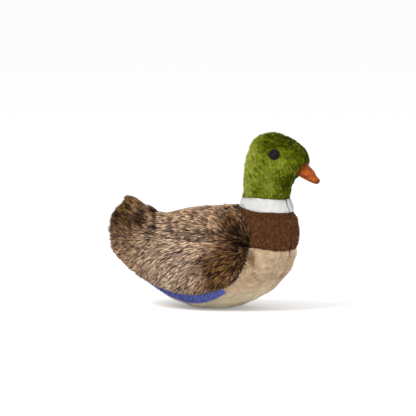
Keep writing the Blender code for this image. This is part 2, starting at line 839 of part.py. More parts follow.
def make_wings(parts, holders):
    """Each wing: a lining, a batting, a fur face and a blue band along its foot."""
    top, foot, fur_share = wing_grid()
    base = WING_GAP + WING_LINING + FIT_GAP

    lining = draped(top, foot, 0, 1, WING_ROWS)
    lining_low = np.full(lining.shape[:2], WING_GAP)
    lining_high = lining_low + WING_LINING

    fur = draped(top, foot, 0, fur_share, WING_ROWS)
    fur_low = np.full(fur.shape[:2], base)
    under = (slice(1, -1), slice(BATTING_INSET, -BATTING_INSET))
    batting = fur[under]
    batting_low = fur_low[under].copy()
    batting_high = batting_low + swelling(*batting.shape[:2], WING_EDGE, WING_BATTING)
    fur_low[under] = batting_high + FIT_GAP
    fur_high = fur_low + swelling(*fur.shape[:2], WING_EDGE, WING_FUR)

    seam = SEAM_GAP / WING_DEPTH
    ends = slice(BAND_INSET, -BAND_INSET)
    band = draped(top[ends], foot[ends], fur_share[ends] + seam, 1, BAND_ROWS)
    band_low = np.full(band.shape[:2], base)
    band_high = band_low + swelling(*band.shape[:2], WING_EDGE, WING_BAND)

    layers = (
        ("lining", lining, lining_low, lining_high, tan_lining()),
        ("batting", batting, batting_low, batting_high, white_filling()),
        ("fur", fur, fur_low, fur_high, long_pile_fur()),
        ("band", band, band_low, band_high, blue_velour()),
    )
    for side, sign in SIDES.items():
        holder = holders[side]
        for layer, grid, low, high, finish in layers:
            name = f"wing_{layer}_{side}"
            faces = []
            for distance in (low, high):
                points = body_side(grid[..., 0], grid[..., 1], distance)
                points[..., 1] *= sign
                faces.append(points - np.array(holder.location))
            piece = link(name, sheet_mesh(name, *faces), parts, finish)
            piece.parent = holder


def make_holders(collection):
    """Empties on the wings' hinge lines and at the squeaker's cap."""
    place, _ = hinge_places()
    holders = {}
    for side, sign in SIDES.items():
        holder = bpy.data.objects.new(f"wing_hinge_{side}", None)
        holder.location = (place.x, sign * place.y, place.z)
        collection.objects.link(holder)
        holders[side] = holder
    press = bpy.data.objects.new("squeaker_press", None)
    press.location = squeaker_place() + Vector((0, 0, SQUEAKER_HEIGHT - SQUEAKER_CAP))
    collection.objects.link(press)
    holders["squeaker"] = press
    return holders


def main():
    for old in list(bpy.data.objects):
        bpy.data.objects.remove(old)
    parts = bpy.data.collections.new("plush_duck")
    cutters = bpy.data.collections.new("cutters")
    bpy.context.scene.collection.children.link(parts)
    bpy.context.scene.collection.children.link(cutters)
    holders = make_holders(parts)
    make_panels(parts, cutters)
    make_filling(parts, cutters)
    make_beak(parts, cutters)
    make_eyes(parts, cutters)
    make_wings(parts, holders)
    make_squeaker(parts, holders["squeaker"])


main()
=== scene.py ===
"""The looks of a stuffed plush mallard: sewn velvet panels with real pile, a long mottled coat,
padded wings, a suede beak, embroidered eyes and the filling inside.

The forms are worked out with numpy from the same ring tables as the solids. The skin is blown up
as cloth that is held at its seams, cut along the seam lines and given a thickness.
"""

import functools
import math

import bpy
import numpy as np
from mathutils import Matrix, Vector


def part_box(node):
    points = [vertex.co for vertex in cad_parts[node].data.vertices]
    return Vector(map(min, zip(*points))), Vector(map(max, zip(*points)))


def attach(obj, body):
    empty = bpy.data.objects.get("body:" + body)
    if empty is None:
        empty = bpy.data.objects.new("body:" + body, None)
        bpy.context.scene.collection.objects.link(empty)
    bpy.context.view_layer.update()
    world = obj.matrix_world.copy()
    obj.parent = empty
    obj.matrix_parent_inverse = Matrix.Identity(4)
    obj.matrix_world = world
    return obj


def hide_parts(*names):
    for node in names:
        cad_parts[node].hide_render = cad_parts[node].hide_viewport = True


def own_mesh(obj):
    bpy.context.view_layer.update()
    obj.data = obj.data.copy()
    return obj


bl_info = {
    "name": "Plush Duck",
    "version": (1, 0, 0),
    "blender": (4, 5, 0),
    "location": "View3D > Sidebar > Plush Duck",
    "description": "Builds the sewn, furred and stuffed pieces of a plush mallard around its solids",
    "category": "Add Mesh",
}

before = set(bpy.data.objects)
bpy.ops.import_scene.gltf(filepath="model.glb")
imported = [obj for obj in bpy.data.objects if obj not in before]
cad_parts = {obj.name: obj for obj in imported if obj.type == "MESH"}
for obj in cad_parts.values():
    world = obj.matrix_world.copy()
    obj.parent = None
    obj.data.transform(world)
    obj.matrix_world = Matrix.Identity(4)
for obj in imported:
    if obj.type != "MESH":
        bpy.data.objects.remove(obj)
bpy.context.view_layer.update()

MM = 0.001
SIDES = {"right": -1.0, "left": 1.0}

# Sizes of the body, the head, the beak and the wings. The beak's tilt, the eye's place, the
# collar's top and the wing's foot are set here by the photograph, a little off the solids.
BODY_LENGTH = 193.5 * MM
BODY_HEIGHT = 104.0 * MM
BODY_HALF_WIDTH = 45.5 * MM
REST_DEPTH = 0.5 * MM
REST_PLACE_SHARE = 0.551
HEAD_RISE = 94.0 * MM
HEAD_LENGTH = 68.0 * MM
HEAD_HALF_WIDTH = 26.0 * MM
NECK_X = 57.66 * MM
NECK_FOOT = 84.24 * MM
COLLAR_DEPTH = 13.0 * MM
# The collar is narrower at the nape: by how much at the origin, and from where.
NAPE_DROP, NAPE_REACH = 8.0 * MM, 58.0 * MM
BEAK_LENGTH = 28.2 * MM
BEAK_HEIGHT = 14.2 * MM
BEAK_WIDTH = 19.0 * MM
BEAK_TILT = math.radians(34.2)
BEAK_SEAT_SHARES = (0.478, 0.65)
BEAK_SEAM_SHARE = -0.2
EYE_PLACE_SHARES = (0.256, 0.779)
WING_LENGTH = 123.0 * MM
WING_DEPTH = 62.0 * MM
WING_FRONT_SHARES = (0.833, 0.635)
WING_BASE = 2.0 * MM
WING_GAP = 0.4 * MM
WING_LINING = 0.6 * MM
WING_FOOT_LIMIT = 0.955
# Thickness of the wing's padded face and of its band, at the edge and in the middle.
WING_FACE_THICKNESS = (0.7 * MM, 3.9 * MM)
WING_BAND_THICKNESS = (0.5 * MM, 1.1 * MM)
# The lining laid flat is wider than the wing is deep in the side view, because it turns under.
SQUARENESS = {"body": 2.3, "head": 2.1, "beak": 2.0}
NARROWING = {"body": 0.1, "head": 0.12}

# Body rings: place along the length from the tail, bottom and top as shares of the height, and
# half width as a share of half the body's width.
BODY_RING_SHARES = (
    (0.000, 0.690, 0.810, 0.09),
    (0.008, 0.590, 0.900, 0.26),
    (0.033, 0.465, 0.965, 0.40),
    (0.070, 0.393, 1.010, 0.50),
    (0.112, 0.337, 1.025, 0.57),
    (0.158, 0.284, 0.985, 0.63),
    (0.216, 0.230, 0.925, 0.71),
    (0.278, 0.165, 0.908, 0.80),
    (0.350, 0.092, 0.930, 0.89),
    (0.433, 0.032, 0.962, 0.96),
    (0.516, -0.002, 0.982, 1.00),
    (0.599, -0.002, 0.992, 1.01),
    (0.682, 0.030, 1.000, 1.00),
    (0.764, 0.084, 1.003, 0.975),
    (0.832, 0.150, 1.003, 0.93),
    (0.890, 0.240, 1.000, 0.865),
    (0.935, 0.340, 0.985, 0.77),
    (0.966, 0.430, 0.957, 0.64),
    (0.987, 0.520, 0.915, 0.465),
    (0.997, 0.605, 0.860, 0.28),
    (1.000, 0.680, 0.795, 0.11),
)

# Head rings: height as a share of the rise, back and front as shares of the head's length from
# the neck's axis, and half width as a share of half the head's width.
HEAD_RING_SHARES = (
    (0.000, -0.440, 0.410, 1.17),
    (0.085, -0.408, 0.405, 1.13),
    (0.150, -0.385, 0.395, 1.08),
    (0.205, -0.362, 0.382, 1.02),
    (0.255, -0.345, 0.366, 0.97),
    (0.310, -0.335, 0.356, 0.94),
    (0.385, -0.340, 0.366, 0.95),
    (0.440, -0.337, 0.386, 0.96),
    (0.490, -0.334, 0.436, 0.975),
    (0.530, -0.332, 0.498, 0.985),
    (0.630, -0.326, 0.612, 1.00),
    (0.705, -0.312, 0.662, 1.00),
    (0.780, -0.280, 0.628, 0.97),
    (0.845, -0.248, 0.565, 0.90),
    (0.905, -0.200, 0.448, 0.75),
    (0.945, -0.150, 0.350, 0.61),
    (0.980, -0.062, 0.226, 0.37),
    (0.998, 0.030, 0.130, 0.13),
)

# Beak rings: place along the length, middle above the axis and half height as shares of half
# the height, and half width as a share of half the width.
BEAK_RING_SHARES = (
    (0.00, 0.06, 1.06, 1.00),
    (0.22, 0.03, 1.08, 1.02),
    (0.38, -0.05, 0.94, 0.98),
    (0.58, -0.08, 0.82, 0.84),
    (0.73, -0.12, 0.64, 0.67),
    (0.87, -0.12, 0.50, 0.52),
    (0.96, -0.10, 0.38, 0.40),
    (1.00, -0.08, 0.16, 0.18),
)

# Seams in the side view, as shares of the body's length from the tail and of its height.
COLLAR_FOOT_SHARES = (
    (0.540, 1.280),
    (0.670, 1.035),
    (0.700, 0.995),
    (0.760, 0.985),
    (0.850, 0.966),
    (0.920, 0.955),
    (0.980, 0.945),
    (1.150, 0.935),
)
FUR_FRONT_SHARES = (
    (0.700, 0.995),
    (0.735, 0.970),
    (0.765, 0.930),
    (0.800, 0.850),
    (0.824, 0.750),
    (0.833, 0.635),
)
BREAST_FOOT_SHARES = (
    (0.833, 0.635),
    (0.900, 0.618),
    (0.950, 0.598),
    (1.000, 0.575),
    (1.150, 0.540),
)
FUR_FOOT_SHARES = (
    (0.833, 0.635),
    (0.700, 0.655),
    (0.500, 0.680),
    (0.350, 0.690),
    (0.270, 0.600),
    (0.222, 0.450),
    (0.215, 0.300),
    (0.235, 0.150),
    (0.260, -0.200),
)
TAIL_FRONT_SHARES = (
    (0.240, 1.250),
    (0.225, 0.950),
    (0.195, 0.800),
    (0.140, 0.670),
    (0.060, 0.590),
    (-0.100, 0.540),
)

# Wing outline: shares of the wing's length behind its front point and of its depth below it. Its
# fur spreads a little further over the belly in front than the solid wing.
WING_TOP_SHARES = (
    (0.00, 0.00),
    (0.20, -0.02),
    (0.45, -0.05),
    (0.65, -0.08),
    (0.77, -0.07),
    (0.88, 0.06),
    (0.96, 0.24),
    (1.00, 0.42),
)
WING_FOOT_SHARES = (
    (0.00, 0.03),
    (0.01, 0.21),
    (0.075, 0.50),
    (0.205, 0.78),
    (0.38, 0.93),
    (0.55, 0.945),
    (0.75, 0.82),
    (0.92, 0.62),
    (1.00, 0.47),
)
# Where the fur ends and the blue band begins, from the wing's top edge to its foot.
WING_FUR_SHARES = (0.995, 0.995, 0.97, 0.88, 0.84, 0.82, 0.815, 0.865, 0.95)

# How the skin is made: its divisions, how far it starts inside the solids and how far it may swell.
SKIN_VOXEL = 2.5 * MM
START_DEPTH = 1.5 * MM
CLOTH_FRAMES = 10
CLOTH_CAP = 2.6 * MM
PIN_REACH = 2.2 * MM
SPARE_CLOTH = 0.05
BODY_RINGS, HEAD_RINGS, ROUND_SIDES = 64, 44, 56
SEAM_STEPS = 81
SNAP_LIMIT = 1.3 * MM
CHUNK = 4000

# Each panel's depth under the solids' surface, which its pile fills.
PILE_DEPTH = {
    "head": 1.1 * MM,
    "collar": 1.0 * MM,
    "chest": 1.1 * MM,
    "belly": 1.0 * MM,
    "back": 2.3 * MM,
    "tail": 2.1 * MM,
}
PANELS = tuple(PILE_DEPTH)
CLOTH = 1.4 * MM
VALLEY_DEPTH = 0.9 * MM
VALLEY_REACH = 1.7 * MM
COLLAR_VALLEY_SHARE = 0.3
FRONT_VALLEY = 4.2 * MM
FRONT_VALLEY_REACH = 4.0 * MM
# Where the front's middle seam is deep: the height of its middle, and how far up and down.
FRONT_VALLEY_HEIGHTS = (108 * MM, 34 * MM)
FRONT_X = 66 * MM
# Where its pile and cloth carry painted shade in the groove: from and to which height, and over how
# far that fades. Then how far from the middle the painted shade is darkest, how far on it pales, and
# how far pile is combed away.
GROOVE_HEIGHTS, GROOVE_FADE = (50 * MM, 138 * MM), 8 * MM
GROOVE_DARK, GROOVE_PALING, GROOVE_COMBED = 0.7 * MM, 2.6 * MM, 8 * MM
REST_CLEARANCE = 0.2 * MM

# Soft dents in the side view: place, reach along and across, depth, and tilt in degrees.
DENTS = (
    ((58.0 * MM, 50.0 * MM), (3.8 * MM, 12.0 * MM), 2.6 * MM, 12.0),
    ((84.0 * MM, 44.0 * MM), (4.5 * MM, 11.0 * MM), 2.0 * MM, 24.0),
    ((66.0 * MM, 30.0 * MM), (7.0 * MM, 10.0 * MM), 0.9 * MM, -35.0),
    ((74.0 * MM, 126.0 * MM), (3.6 * MM, 9.0 * MM), 1.0 * MM, -38.0),
    ((62.0 * MM, 116.0 * MM), (5.0 * MM, 5.0 * MM), 0.8 * MM, 0.0),
)
# Places in the side view where the filling pushes the skin out: place, reach and height.
SWELLS = (
    ((36.0 * MM, 106.0 * MM), (15.0 * MM, 9.0 * MM), 2.6 * MM),
    ((87.0 * MM, 99.0 * MM), (8.0 * MM, 9.0 * MM), 2.2 * MM),
    ((84.0 * MM, 113.0 * MM), (8.0 * MM, 6.0 * MM), 1.2 * MM),
    ((83.0 * MM, 123.0 * MM), (8.0 * MM, 9.0 * MM), 2.8 * MM),
    ((93.0 * MM, 146.0 * MM), (9.0 * MM, 9.0 * MM), 1.6 * MM),
    ((-68.0 * MM, 93.0 * MM), (15.0 * MM, 10.0 * MM), 1.8 * MM),
    ((-14.0 * MM, 76.0 * MM), (36.0 * MM, 7.0 * MM), 1.4 * MM),
    ((40.0 * MM, 84.0 * MM), (9.0 * MM, 9.0 * MM), 1.3 * MM),
)
GATHER_DEPTH = 0.8 * MM
GATHER_REACH = 11.0 * MM
GATHERS = 15
LUMP_SIZES = ((30.0 * MM, 0.55 * MM), (12.0 * MM, 0.22 * MM))

# Lighter and darker areas of the head's velvet: place, reach along and across, and tone. They are
# partly where its nap lies another way and partly painted light and shade: painted shade on the
# throat and the face, painted light on the back of the head, the nape and the cheek.
HEAD_NAP_AND_PAINTED_LIGHT = (
    ((73.0 * MM, 168.0 * MM), (16.0 * MM, 9.0 * MM), -2.5),
    ((98.0 * MM, 154.0 * MM), (11.0 * MM, 13.0 * MM), -1.7),
    ((84.0 * MM, 124.0 * MM), (8.0 * MM, 16.0 * MM), -2.7),
    ((57.0 * MM, 121.0 * MM), (5.0 * MM, 6.0 * MM), -0.5),
    ((49.0 * MM, 145.0 * MM), (10.0 * MM, 18.0 * MM), 0.6),
    ((50.0 * MM, 162.0 * MM), (8.0 * MM, 8.0 * MM), 0.8),
    ((45.0 * MM, 122.0 * MM), (6.0 * MM, 9.0 * MM), 0.7),
    ((66.0 * MM, 126.0 * MM), (5.0 * MM, 11.0 * MM), 0.7),
    ((80.0 * MM, 146.0 * MM), (9.0 * MM, 8.0 * MM), 1.0),
)

# Painted light and shade on the belly's velvet: place, reach along and across, and tone. Painted
# shade lies in its folds and dents, painted light on the bulge beside the deepest fold and along its
# underside, and the band along the seam with the chest is lighter.
BELLY_PAINTED_LIGHT_AND_SHADE = (
    ((57.0 * MM, 52.0 * MM), (4.5 * MM, 12.0 * MM), -1.6),
    ((72.0 * MM, 36.0 * MM), (4.0 * MM, 8.0 * MM), -0.5),
    ((86.0 * MM, 43.0 * MM), (6.0 * MM, 9.0 * MM), -1.0),
    ((72.0 * MM, 60.5 * MM), (22.0 * MM, 2.5 * MM), 0.8),
    ((67.0 * MM, 54.0 * MM), (4.0 * MM, 5.0 * MM), 0.9),
    ((30.0 * MM, 8.0 * MM), (60.0 * MM, 14.0 * MM), 1.8),
)

# The coat: where its pile fans out from, at the wing's front point and in front of the tuft.
COAT_FAN = (54.6 * MM, 66.0 * MM)
FAN_REACH = 22.0 * MM
# Places in the side view, in millimetres, and how far above level the pile points back there.
COAT_GUIDES = (
    (32, 98, 58),
    (27, 83, 48),
    (20, 88, 44),
    (6, 102, 34),
    (-8, 93, 10),
    (-17, 83, 0),
    (-23, 69, -18),
    (15, 68, -8),
    (20, 55, -26),
    (-30, 61, -26),
    (-4, 56, -25),
    (2, 50, -30),
    (-23, 44, -38),
    (-36, 38, -45),
    (-49, 51, -45),
    (-69, 53, -26),
    (-75, 56, -12),
    (-62, 38, -50),
    (-10, 25, -50),
    (12, 24, -50),
    (28, 33, -54),
    (-86, 62, -8),
    (-102, 72, 0),
    (-104, 82, 8),
    (-99, 92, 26),
    (-92, 104, 68),
    (-84, 106, 62),
    (-88, 88, 40),
    (-79, 96, 44),
    (-78, 80, 36),
    (-65, 90, 30),
    (-52, 88, 14),
    (-60, 74, 8),
    (-42, 78, 0),
)
GUIDE_REACH = 6.0 * MM
STRANDS_IN_LOCK = 2.2
# Places in the side view and reaches, in millimetres, where the coat is dark with golden streaks:
# along its front edge, and on the tail.
COAT_DUSK = (
    (34, 86, 8), (44, 78, 12), (52, 66, 14), (42, 54, 17), (28, 46, 13), (26, 33, 11),
)
COAT_TUFT = ((-84, 97, 13), (-79, 84, 13), (-92, 86, 12), (-65, 87, 10))
TUFT_TINT, DUSK_TINT = (0.8, 0.72, 0.74), (0.9, 0.7, 0.48)
# The middle of the wing, whose pile is a paler and pinker brown, its reach, and both tints.
COAT_PALE, PALE_REACH = (-20, 45), 52
PALE_TINT, WARM_TINT = (1.16, 1.13, 1.14), (0.82, 0.68, 0.54)
# What stays of the coat's strands under a wing, on the back and on the tail, which starts here.
COAT_KEPT = (0.24, 0.69, 1.0)
TAIL_START = -66 * MM
# Where a long strand has its points, as shares of its length, how much it arches, and how bright it
# is at each point: darker towards the root, partly the coat's own tipped colour and partly painted
# shade deep in the coat. Then the same brightness at a short strand's root and tip, whose darker
# root is painted shade deep in the pile.
COAT_STEPS = (0, 0.45, 0.68, 1.0)
COAT_ARCH = 0.16
COAT_SHADES = (0.2, 0.32, 1.05, 1.3)
VELVET_SHADES = (0.6, 1.12)
# A distance from the seam at which the pile no longer shortens.
FAR_FROM_SEAM = 9 * MM
WADDING_DEPTH = 7.0 * MM
EYE_RADIUS = 5.25 * MM
# How far the eye's edge and its base lie under the head's cloth.
EYE_EDGE_DEPTH, EYE_BASE_DEPTH = 0.75 * MM, 1.9 * MM
THREAD = 0.5 * MM
THREADS = 25
# The squeaker's bellows: its folds, how deep they are, and its wall.
BELLOWS_FOLDS = 4
BELLOWS_FOLD = 2.4 * MM
BELLOWS_WALL = 0.9 * MM


def linear(code):
    """A hex colour in the scene's linear light, by the sRGB curve."""
    parts = np.array([int(code[k : k + 2], 16) for k in (1, 3, 5)]) / 255
    curve = np.where(parts <= 0.04045, parts / 12.92, ((parts + 0.055) / 1.055) ** 2.4)
    return tuple(curve.tolist())


def colour_property(name, description, code):
    """A colour that the user may change, given in hex."""
    return bpy.props.FloatVectorProperty(
        name=name, description=description, subtype="COLOR", size=3, min=0, max=1,
        default=linear(code),
    )


def length_property(name, description, value):
    """A length that the user may change."""
    return bpy.props.FloatProperty(
        name=name, description=description, default=value, min=0, unit="LENGTH", precision=5
    )


def unit(vectors):
    """Vectors at length 1."""
    length = np.linalg.norm(vectors, axis=-1, keepdims=True)
    return vectors / np.maximum(length, 1e-12)


def curve_through(rows, count):
    """A smooth curve through the rows of a table, read at count even steps (Catmull-Rom)."""
    rows = np.array(rows, float)
    if rows.ndim == 1:
        rows = rows[:, None]
    padded = np.vstack([2 * rows[0] - rows[1], rows, 2 * rows[-1] - rows[-2]])
    steps = np.linspace(0, len(rows) - 1, count)
    first = np.minimum(steps.astype(int), len(rows) - 2)
    along = (steps - first)[:, None]
    a, b, c, d = (padded[first + k] for k in range(4))
    return 0.5 * (
        2 * b
        + (c - a) * along
        + (2 * a - 5 * b + 4 * c - d) * along**2
        + (3 * b - a - 3 * c + d) * along**3
    )


def section(turn, squareness):
    """Up and sideways parts of a superellipse at these angles: the cosine's and the sine's
    size raised to two over the squareness."""
    up, side = np.cos(turn), np.sin(turn)
    power = 2 / squareness
    return np.sign(up) * np.abs(up) ** power, np.sign(side) * np.abs(side) ** power


def around(sides):
    """Even angles round a whole turn."""
    return np.linspace(0, 2 * math.pi, sides, endpoint=False)


def body_table(count):
    """Body rings as x, bottom, top and half width."""
    rings = curve_through(BODY_RING_SHARES, count)
    x = (rings[:, 0] - REST_PLACE_SHARE) * BODY_LENGTH
    bottom, top = rings[:, 1] * BODY_HEIGHT - REST_DEPTH, rings[:, 2] * BODY_HEIGHT
    return x, bottom, top, rings[:, 3] * BODY_HALF_WIDTH


def body_rings(count, sides):
    """Rings in upright planes: middle plus half height times up, half width times side, and
    narrower towards the top."""
    x, bottom, top, half = body_table(count)
    up, side = section(around(sides), SQUARENESS["body"])
    middle, rise = (top + bottom) / 2, (top - bottom) / 2
    points = np.empty((len(x), len(up), 3))
    points[..., 0] = x[:, None]
    points[..., 1] = half[:, None] * side * (1 - NARROWING["body"] * up)
    points[..., 2] = middle[:, None] + rise[:, None] * up
    return points


def head_table(count):
    """Head rings as height, middle, half length and half width."""
    rings = curve_through(HEAD_RING_SHARES, count)
    middle = NECK_X + (rings[:, 1] + rings[:, 2]) / 2 * HEAD_LENGTH
    reach = (rings[:, 2] - rings[:, 1]) / 2 * HEAD_LENGTH
    return NECK_FOOT + rings[:, 0] * HEAD_RISE, middle, reach, rings[:, 3] * HEAD_HALF_WIDTH


def head_rings(count, sides):
    """Rings in level planes, narrower towards the front."""
    height, middle, reach, half = head_table(count)
    front, side = section(around(sides), SQUARENESS["head"])
    points = np.empty((len(height), len(front), 3))
    points[..., 0] = middle[:, None] + reach[:, None] * front
    points[..., 1] = half[:, None] * side * (1 - NARROWING["head"] * front)
    points[..., 2] = height[:, None]
    return points


def outside(half_width, x, z, distance):
    """Points at a distance off a form's left side, along the normal that differences of its
    half width give."""
    step = 0.3 * MM
    y = half_width(x, z)
    slope_x = (half_width(x + step, z) - half_width(x - step, z)) / (2 * step)
    slope_z = (half_width(x, z + step) - half_width(x, z - step)) / (2 * step)
    normal = unit(np.stack([-slope_x, np.ones_like(y), -slope_z], -1))
    return np.stack([x, y, z], -1) + normal * np.asarray(distance)[..., None]


def body_side(x, z, distance):
    """Points at a distance off the body's left side, for places in the side view."""
    stations, bottom, top, half = body_table(32)

    def half_width(x, z):
        low, high = np.interp(x, stations, bottom), np.interp(x, stations, top)
        up = (z - (low + high) / 2) / ((high - low) / 2)
        room = np.clip(1 - np.abs(up) ** SQUARENESS["body"], 0, 1)
        wide = np.interp(x, stations, half) * (1 - NARROWING["body"] * up)
        return wide * room ** (1 / SQUARENESS["body"])

    return outside(half_width, x, z, distance)


def head_side(x, z, distance):
    """Points at a distance off the head's left side, for places in the side view."""
    heights, middle, reach, half = head_table(HEAD_RINGS)

    def half_width(x, z):
        front = (x - np.interp(z, heights, middle)) / np.interp(z, heights, reach)
        room = np.clip(1 - np.abs(front) ** SQUARENESS["head"], 0, 1)
        wide = np.interp(z, heights, half) * (1 - NARROWING["head"] * front)
        return wide * room ** (1 / SQUARENESS["head"])

    return outside(half_width, x, z, distance)


def side_line(shares, count=SEAM_STEPS):
    """A smooth line in the side view, as rows of x and z."""
    line = curve_through(shares, count)
    x = (line[:, 0] - REST_PLACE_SHARE) * BODY_LENGTH
    return np.stack([x, line[:, 1] * BODY_HEIGHT], -1)


@functools.lru_cache(maxsize=1)
def seams():
    """The seam lines in the side view, and the region that each panel fills between them."""
    collar_foot = side_line(COLLAR_FOOT_SHARES)
    fur_front = side_line(FUR_FRONT_SHARES)
    nape = int(np.argmin(np.abs(collar_foot[:, 0] - fur_front[0, 0])))
    collar_foot[nape] = fur_front[0]
    collar_top = collar_foot + (0, COLLAR_DEPTH)
    collar_top[:, 1] -= NAPE_DROP * np.clip((NAPE_REACH - collar_top[:, 0]) / NAPE_REACH, 0, 1)
    breast_foot = side_line(BREAST_FOOT_SHARES)
    fur_foot = side_line(FUR_FOOT_SHARES)
    tail_front = side_line(TAIL_FRONT_SHARES)
    far, back, crown = 1.0, -1.0, 1.0
    regions = {
        "head": [*collar_top, (far, collar_top[-1, 1]), (far, crown), (collar_top[0, 0], crown)],
        "collar": [*collar_foot, *collar_top[::-1]],
        "chest": [*fur_front, *breast_foot[1:], *collar_foot[:nape:-1]],
        "belly": [*breast_foot[::-1], *fur_foot[1:], (far, fur_foot[-1, 1])],
        "tail": [*tail_front, (back, tail_front[-1, 1]), (back, crown)],
    }
    lines = (collar_foot, collar_top, fur_front, breast_foot, fur_foot, tail_front)
    return lines, {name: np.array(region) for name, region in regions.items()}


def within(outline, x, z):
    """Whether places in the side view are inside an outline: a ray along X crosses it an odd
    number of times."""
    found = np.zeros(x.shape, bool)
    for (ax, az), (bx, bz) in zip(outline, np.roll(outline, -1, 0)):
        crosses = (az > z) != (bz > z)
        rise = bz - az if bz != az else 1.0
        found ^= crosses & (x < (bx - ax) * (z - az) / rise + ax)
    return found


def near_line(lines, places):
    """The nearest point on any of the lines to each place in the side view."""
    starts = np.vstack([line[:-1] for line in lines])
    runs = np.vstack([np.diff(line, axis=0) for line in lines])
    offset = places[:, None] - starts
    share = (offset * runs).sum(-1) / np.maximum((runs**2).sum(-1), 1e-18)
    found = starts + np.clip(share, 0, 1)[..., None] * runs
    gap = np.linalg.norm(found - places[:, None], axis=-1)
    best = gap.argmin(1)
    rows = np.arange(len(places))
    return found[rows, best], gap[rows, best]


def nearest(points, marks):
    """Each point's distance to the nearest mark, and which one that is, in chunks of rows."""
    distance, which = np.empty(len(points)), np.empty(len(points), int)
    marks = marks.astype(np.float32)
    squares = (marks**2).sum(1)
    for start in range(0, len(points), CHUNK):
        part = points[start : start + CHUNK].astype(np.float32)
        gap = squares - 2 * part @ marks.T + (part**2).sum(1)[:, None]
        which[start : start + CHUNK] = gap.argmin(1)
        distance[start : start + CHUNK] = np.sqrt(np.maximum(gap.min(1), 0))
    return distance, which


def waves(points, size, seed, parts=1):
    """Smooth noise of about -1 to 1: a sum of sine waves in random directions, whose lengths lie
    round the size. One column for each part."""
    rng = np.random.default_rng(seed)
    count = 14
    directions = unit(rng.normal(size=(count, 3)))
    lengths = size * rng.uniform(0.6, 1.8, count)
    turns = points @ (directions / lengths[:, None]).T * 2 * math.pi
    phases = rng.uniform(0, 2 * math.pi, (parts, count))
    total = [np.sin(turns + phase).sum(-1) for phase in phases]
    return np.stack(total, -1) * 0.55 / math.sqrt(count / 2)


def vertex_normals(points, faces):
    """Normals at the points: each face's cross product of its diagonals, summed at its corners."""
    last = faces.shape[1] - 1
    across = points[faces[:, 2]] - points[faces[:, 0]]
    other = points[faces[:, last]] - points[faces[:, 1]] if last == 3 else (
        points[faces[:, 2]] - points[faces[:, 1]]
    )
    normal = np.cross(across, other)
    total = np.stack(
        [
            np.bincount(faces.ravel(), np.repeat(normal[:, k], last + 1), len(points))
            for k in range(3)
        ],
        -1,
    )
    return unit(total)


def mesh_of(name, points, faces, colours=None):
    """A smooth-shaded mesh from arrays of points and of faces with equal numbers of corners,
    with a colour at each point if given."""
    mesh = bpy.data.meshes.new(name)
    faces = np.asarray(faces, np.int32)
    mesh.vertices.add(len(points))
    mesh.vertices.foreach_set("co", np.asarray(points, np.float32).ravel())
    mesh.loops.add(faces.size)
    mesh.loops.foreach_set("vertex_index", faces.ravel())
    mesh.polygons.add(len(faces))
    mesh.polygons.foreach_set("loop_start", np.arange(0, faces.size, faces.shape[1], np.int32))
    if colours is not None:
        layer = mesh.color_attributes.new("dye_and_shade", "FLOAT_COLOR", "POINT")
        full = np.ones((len(points), 4), np.float32)
        full[:, :3] = colours
        layer.data.foreach_set("color", full.ravel())
    mesh.update(calc_edges=True)
    mesh.shade_smooth()
    return mesh


def add(name, mesh, finish=None):
    """A new object that holds the mesh, in the scene."""
    made = bpy.data.objects.new(name, mesh)
    bpy.context.scene.collection.objects.link(made)
    if finish:
        mesh.materials.append(finish)
    return made


def discard(*objects):
    """Removes helper objects and their meshes."""
    for made in objects:
        mesh = made.data
        bpy.data.objects.remove(made)
        bpy.data.meshes.remove(mesh)


def evaluated_mesh(made):
    """The object's mesh with its modifiers applied."""
    bpy.context.view_layer.update()
    graph = bpy.context.evaluated_depsgraph_get()
    return bpy.data.meshes.new_from_object(made.evaluated_get(graph))


def arrays_of(mesh):
    """The points and the four-cornered faces of a mesh."""
    points = np.empty(len(mesh.vertices) * 3, np.float32)
    mesh.vertices.foreach_get("co", points)
    corners = np.empty(len(mesh.loops), np.int32)
    mesh.loops.foreach_get("vertex_index", corners)
    return points.reshape(-1, 3).astype(float), corners.reshape(-1, 4)


def ring_grid(count, sides):
    """The numbers of the points in a row of rings, and the four-cornered faces between them."""
    index = np.arange(count * sides).reshape(count, sides)
    ahead = np.roll(index, -1, axis=1)
    return index, np.stack([index[:-1], ahead[:-1], ahead[1:], index[1:]], -1).reshape(-1, 4)


def halved(faces):
    """Each four-cornered face as two triangles."""
    return np.vstack([faces[:, [0, 1, 2]], faces[:, [0, 2, 3]]])


def loft(name, rings):
    """A closed object over a row of rings: the grid of ring number by angle, with a cap on each
    end."""
    index, faces = ring_grid(*rings.shape[:2])
    mesh = bpy.data.meshes.new(name)
    caps = [index[0, ::-1].tolist(), index[-1].tolist()]
    mesh.from_pydata(rings.reshape(-1, 3).tolist(), [], faces.tolist() + caps)
    points = rings.reshape(-1, 3)
    inward = (vertex_normals(points, faces) * (points - points.mean(0))).sum() < 0
    if inward:
        mesh.flip_normals()
    return add(name, mesh)


def remeshed(name, forms, voxel, cut=None):
    """Closed forms joined (or the first with another cut out) and remade in even squares."""
    first, others = forms[0], forms[1:]
    for other in others:
        join = first.modifiers.new("join", "BOOLEAN")
        join.operation, join.solver, join.object = "UNION", "EXACT", other
    if cut:
        taken = first.modifiers.new("cut", "BOOLEAN")
        taken.operation, taken.solver, taken.object = "DIFFERENCE", "EXACT", cut
    remesh = first.modifiers.new("even", "REMESH")
    remesh.mode, remesh.voxel_size = "VOXEL", voxel
    mesh = evaluated_mesh(first)
    points, faces = arrays_of(mesh)
    bpy.data.meshes.remove(mesh)
    discard(*forms, *([cut] if cut else []))
    return points, faces


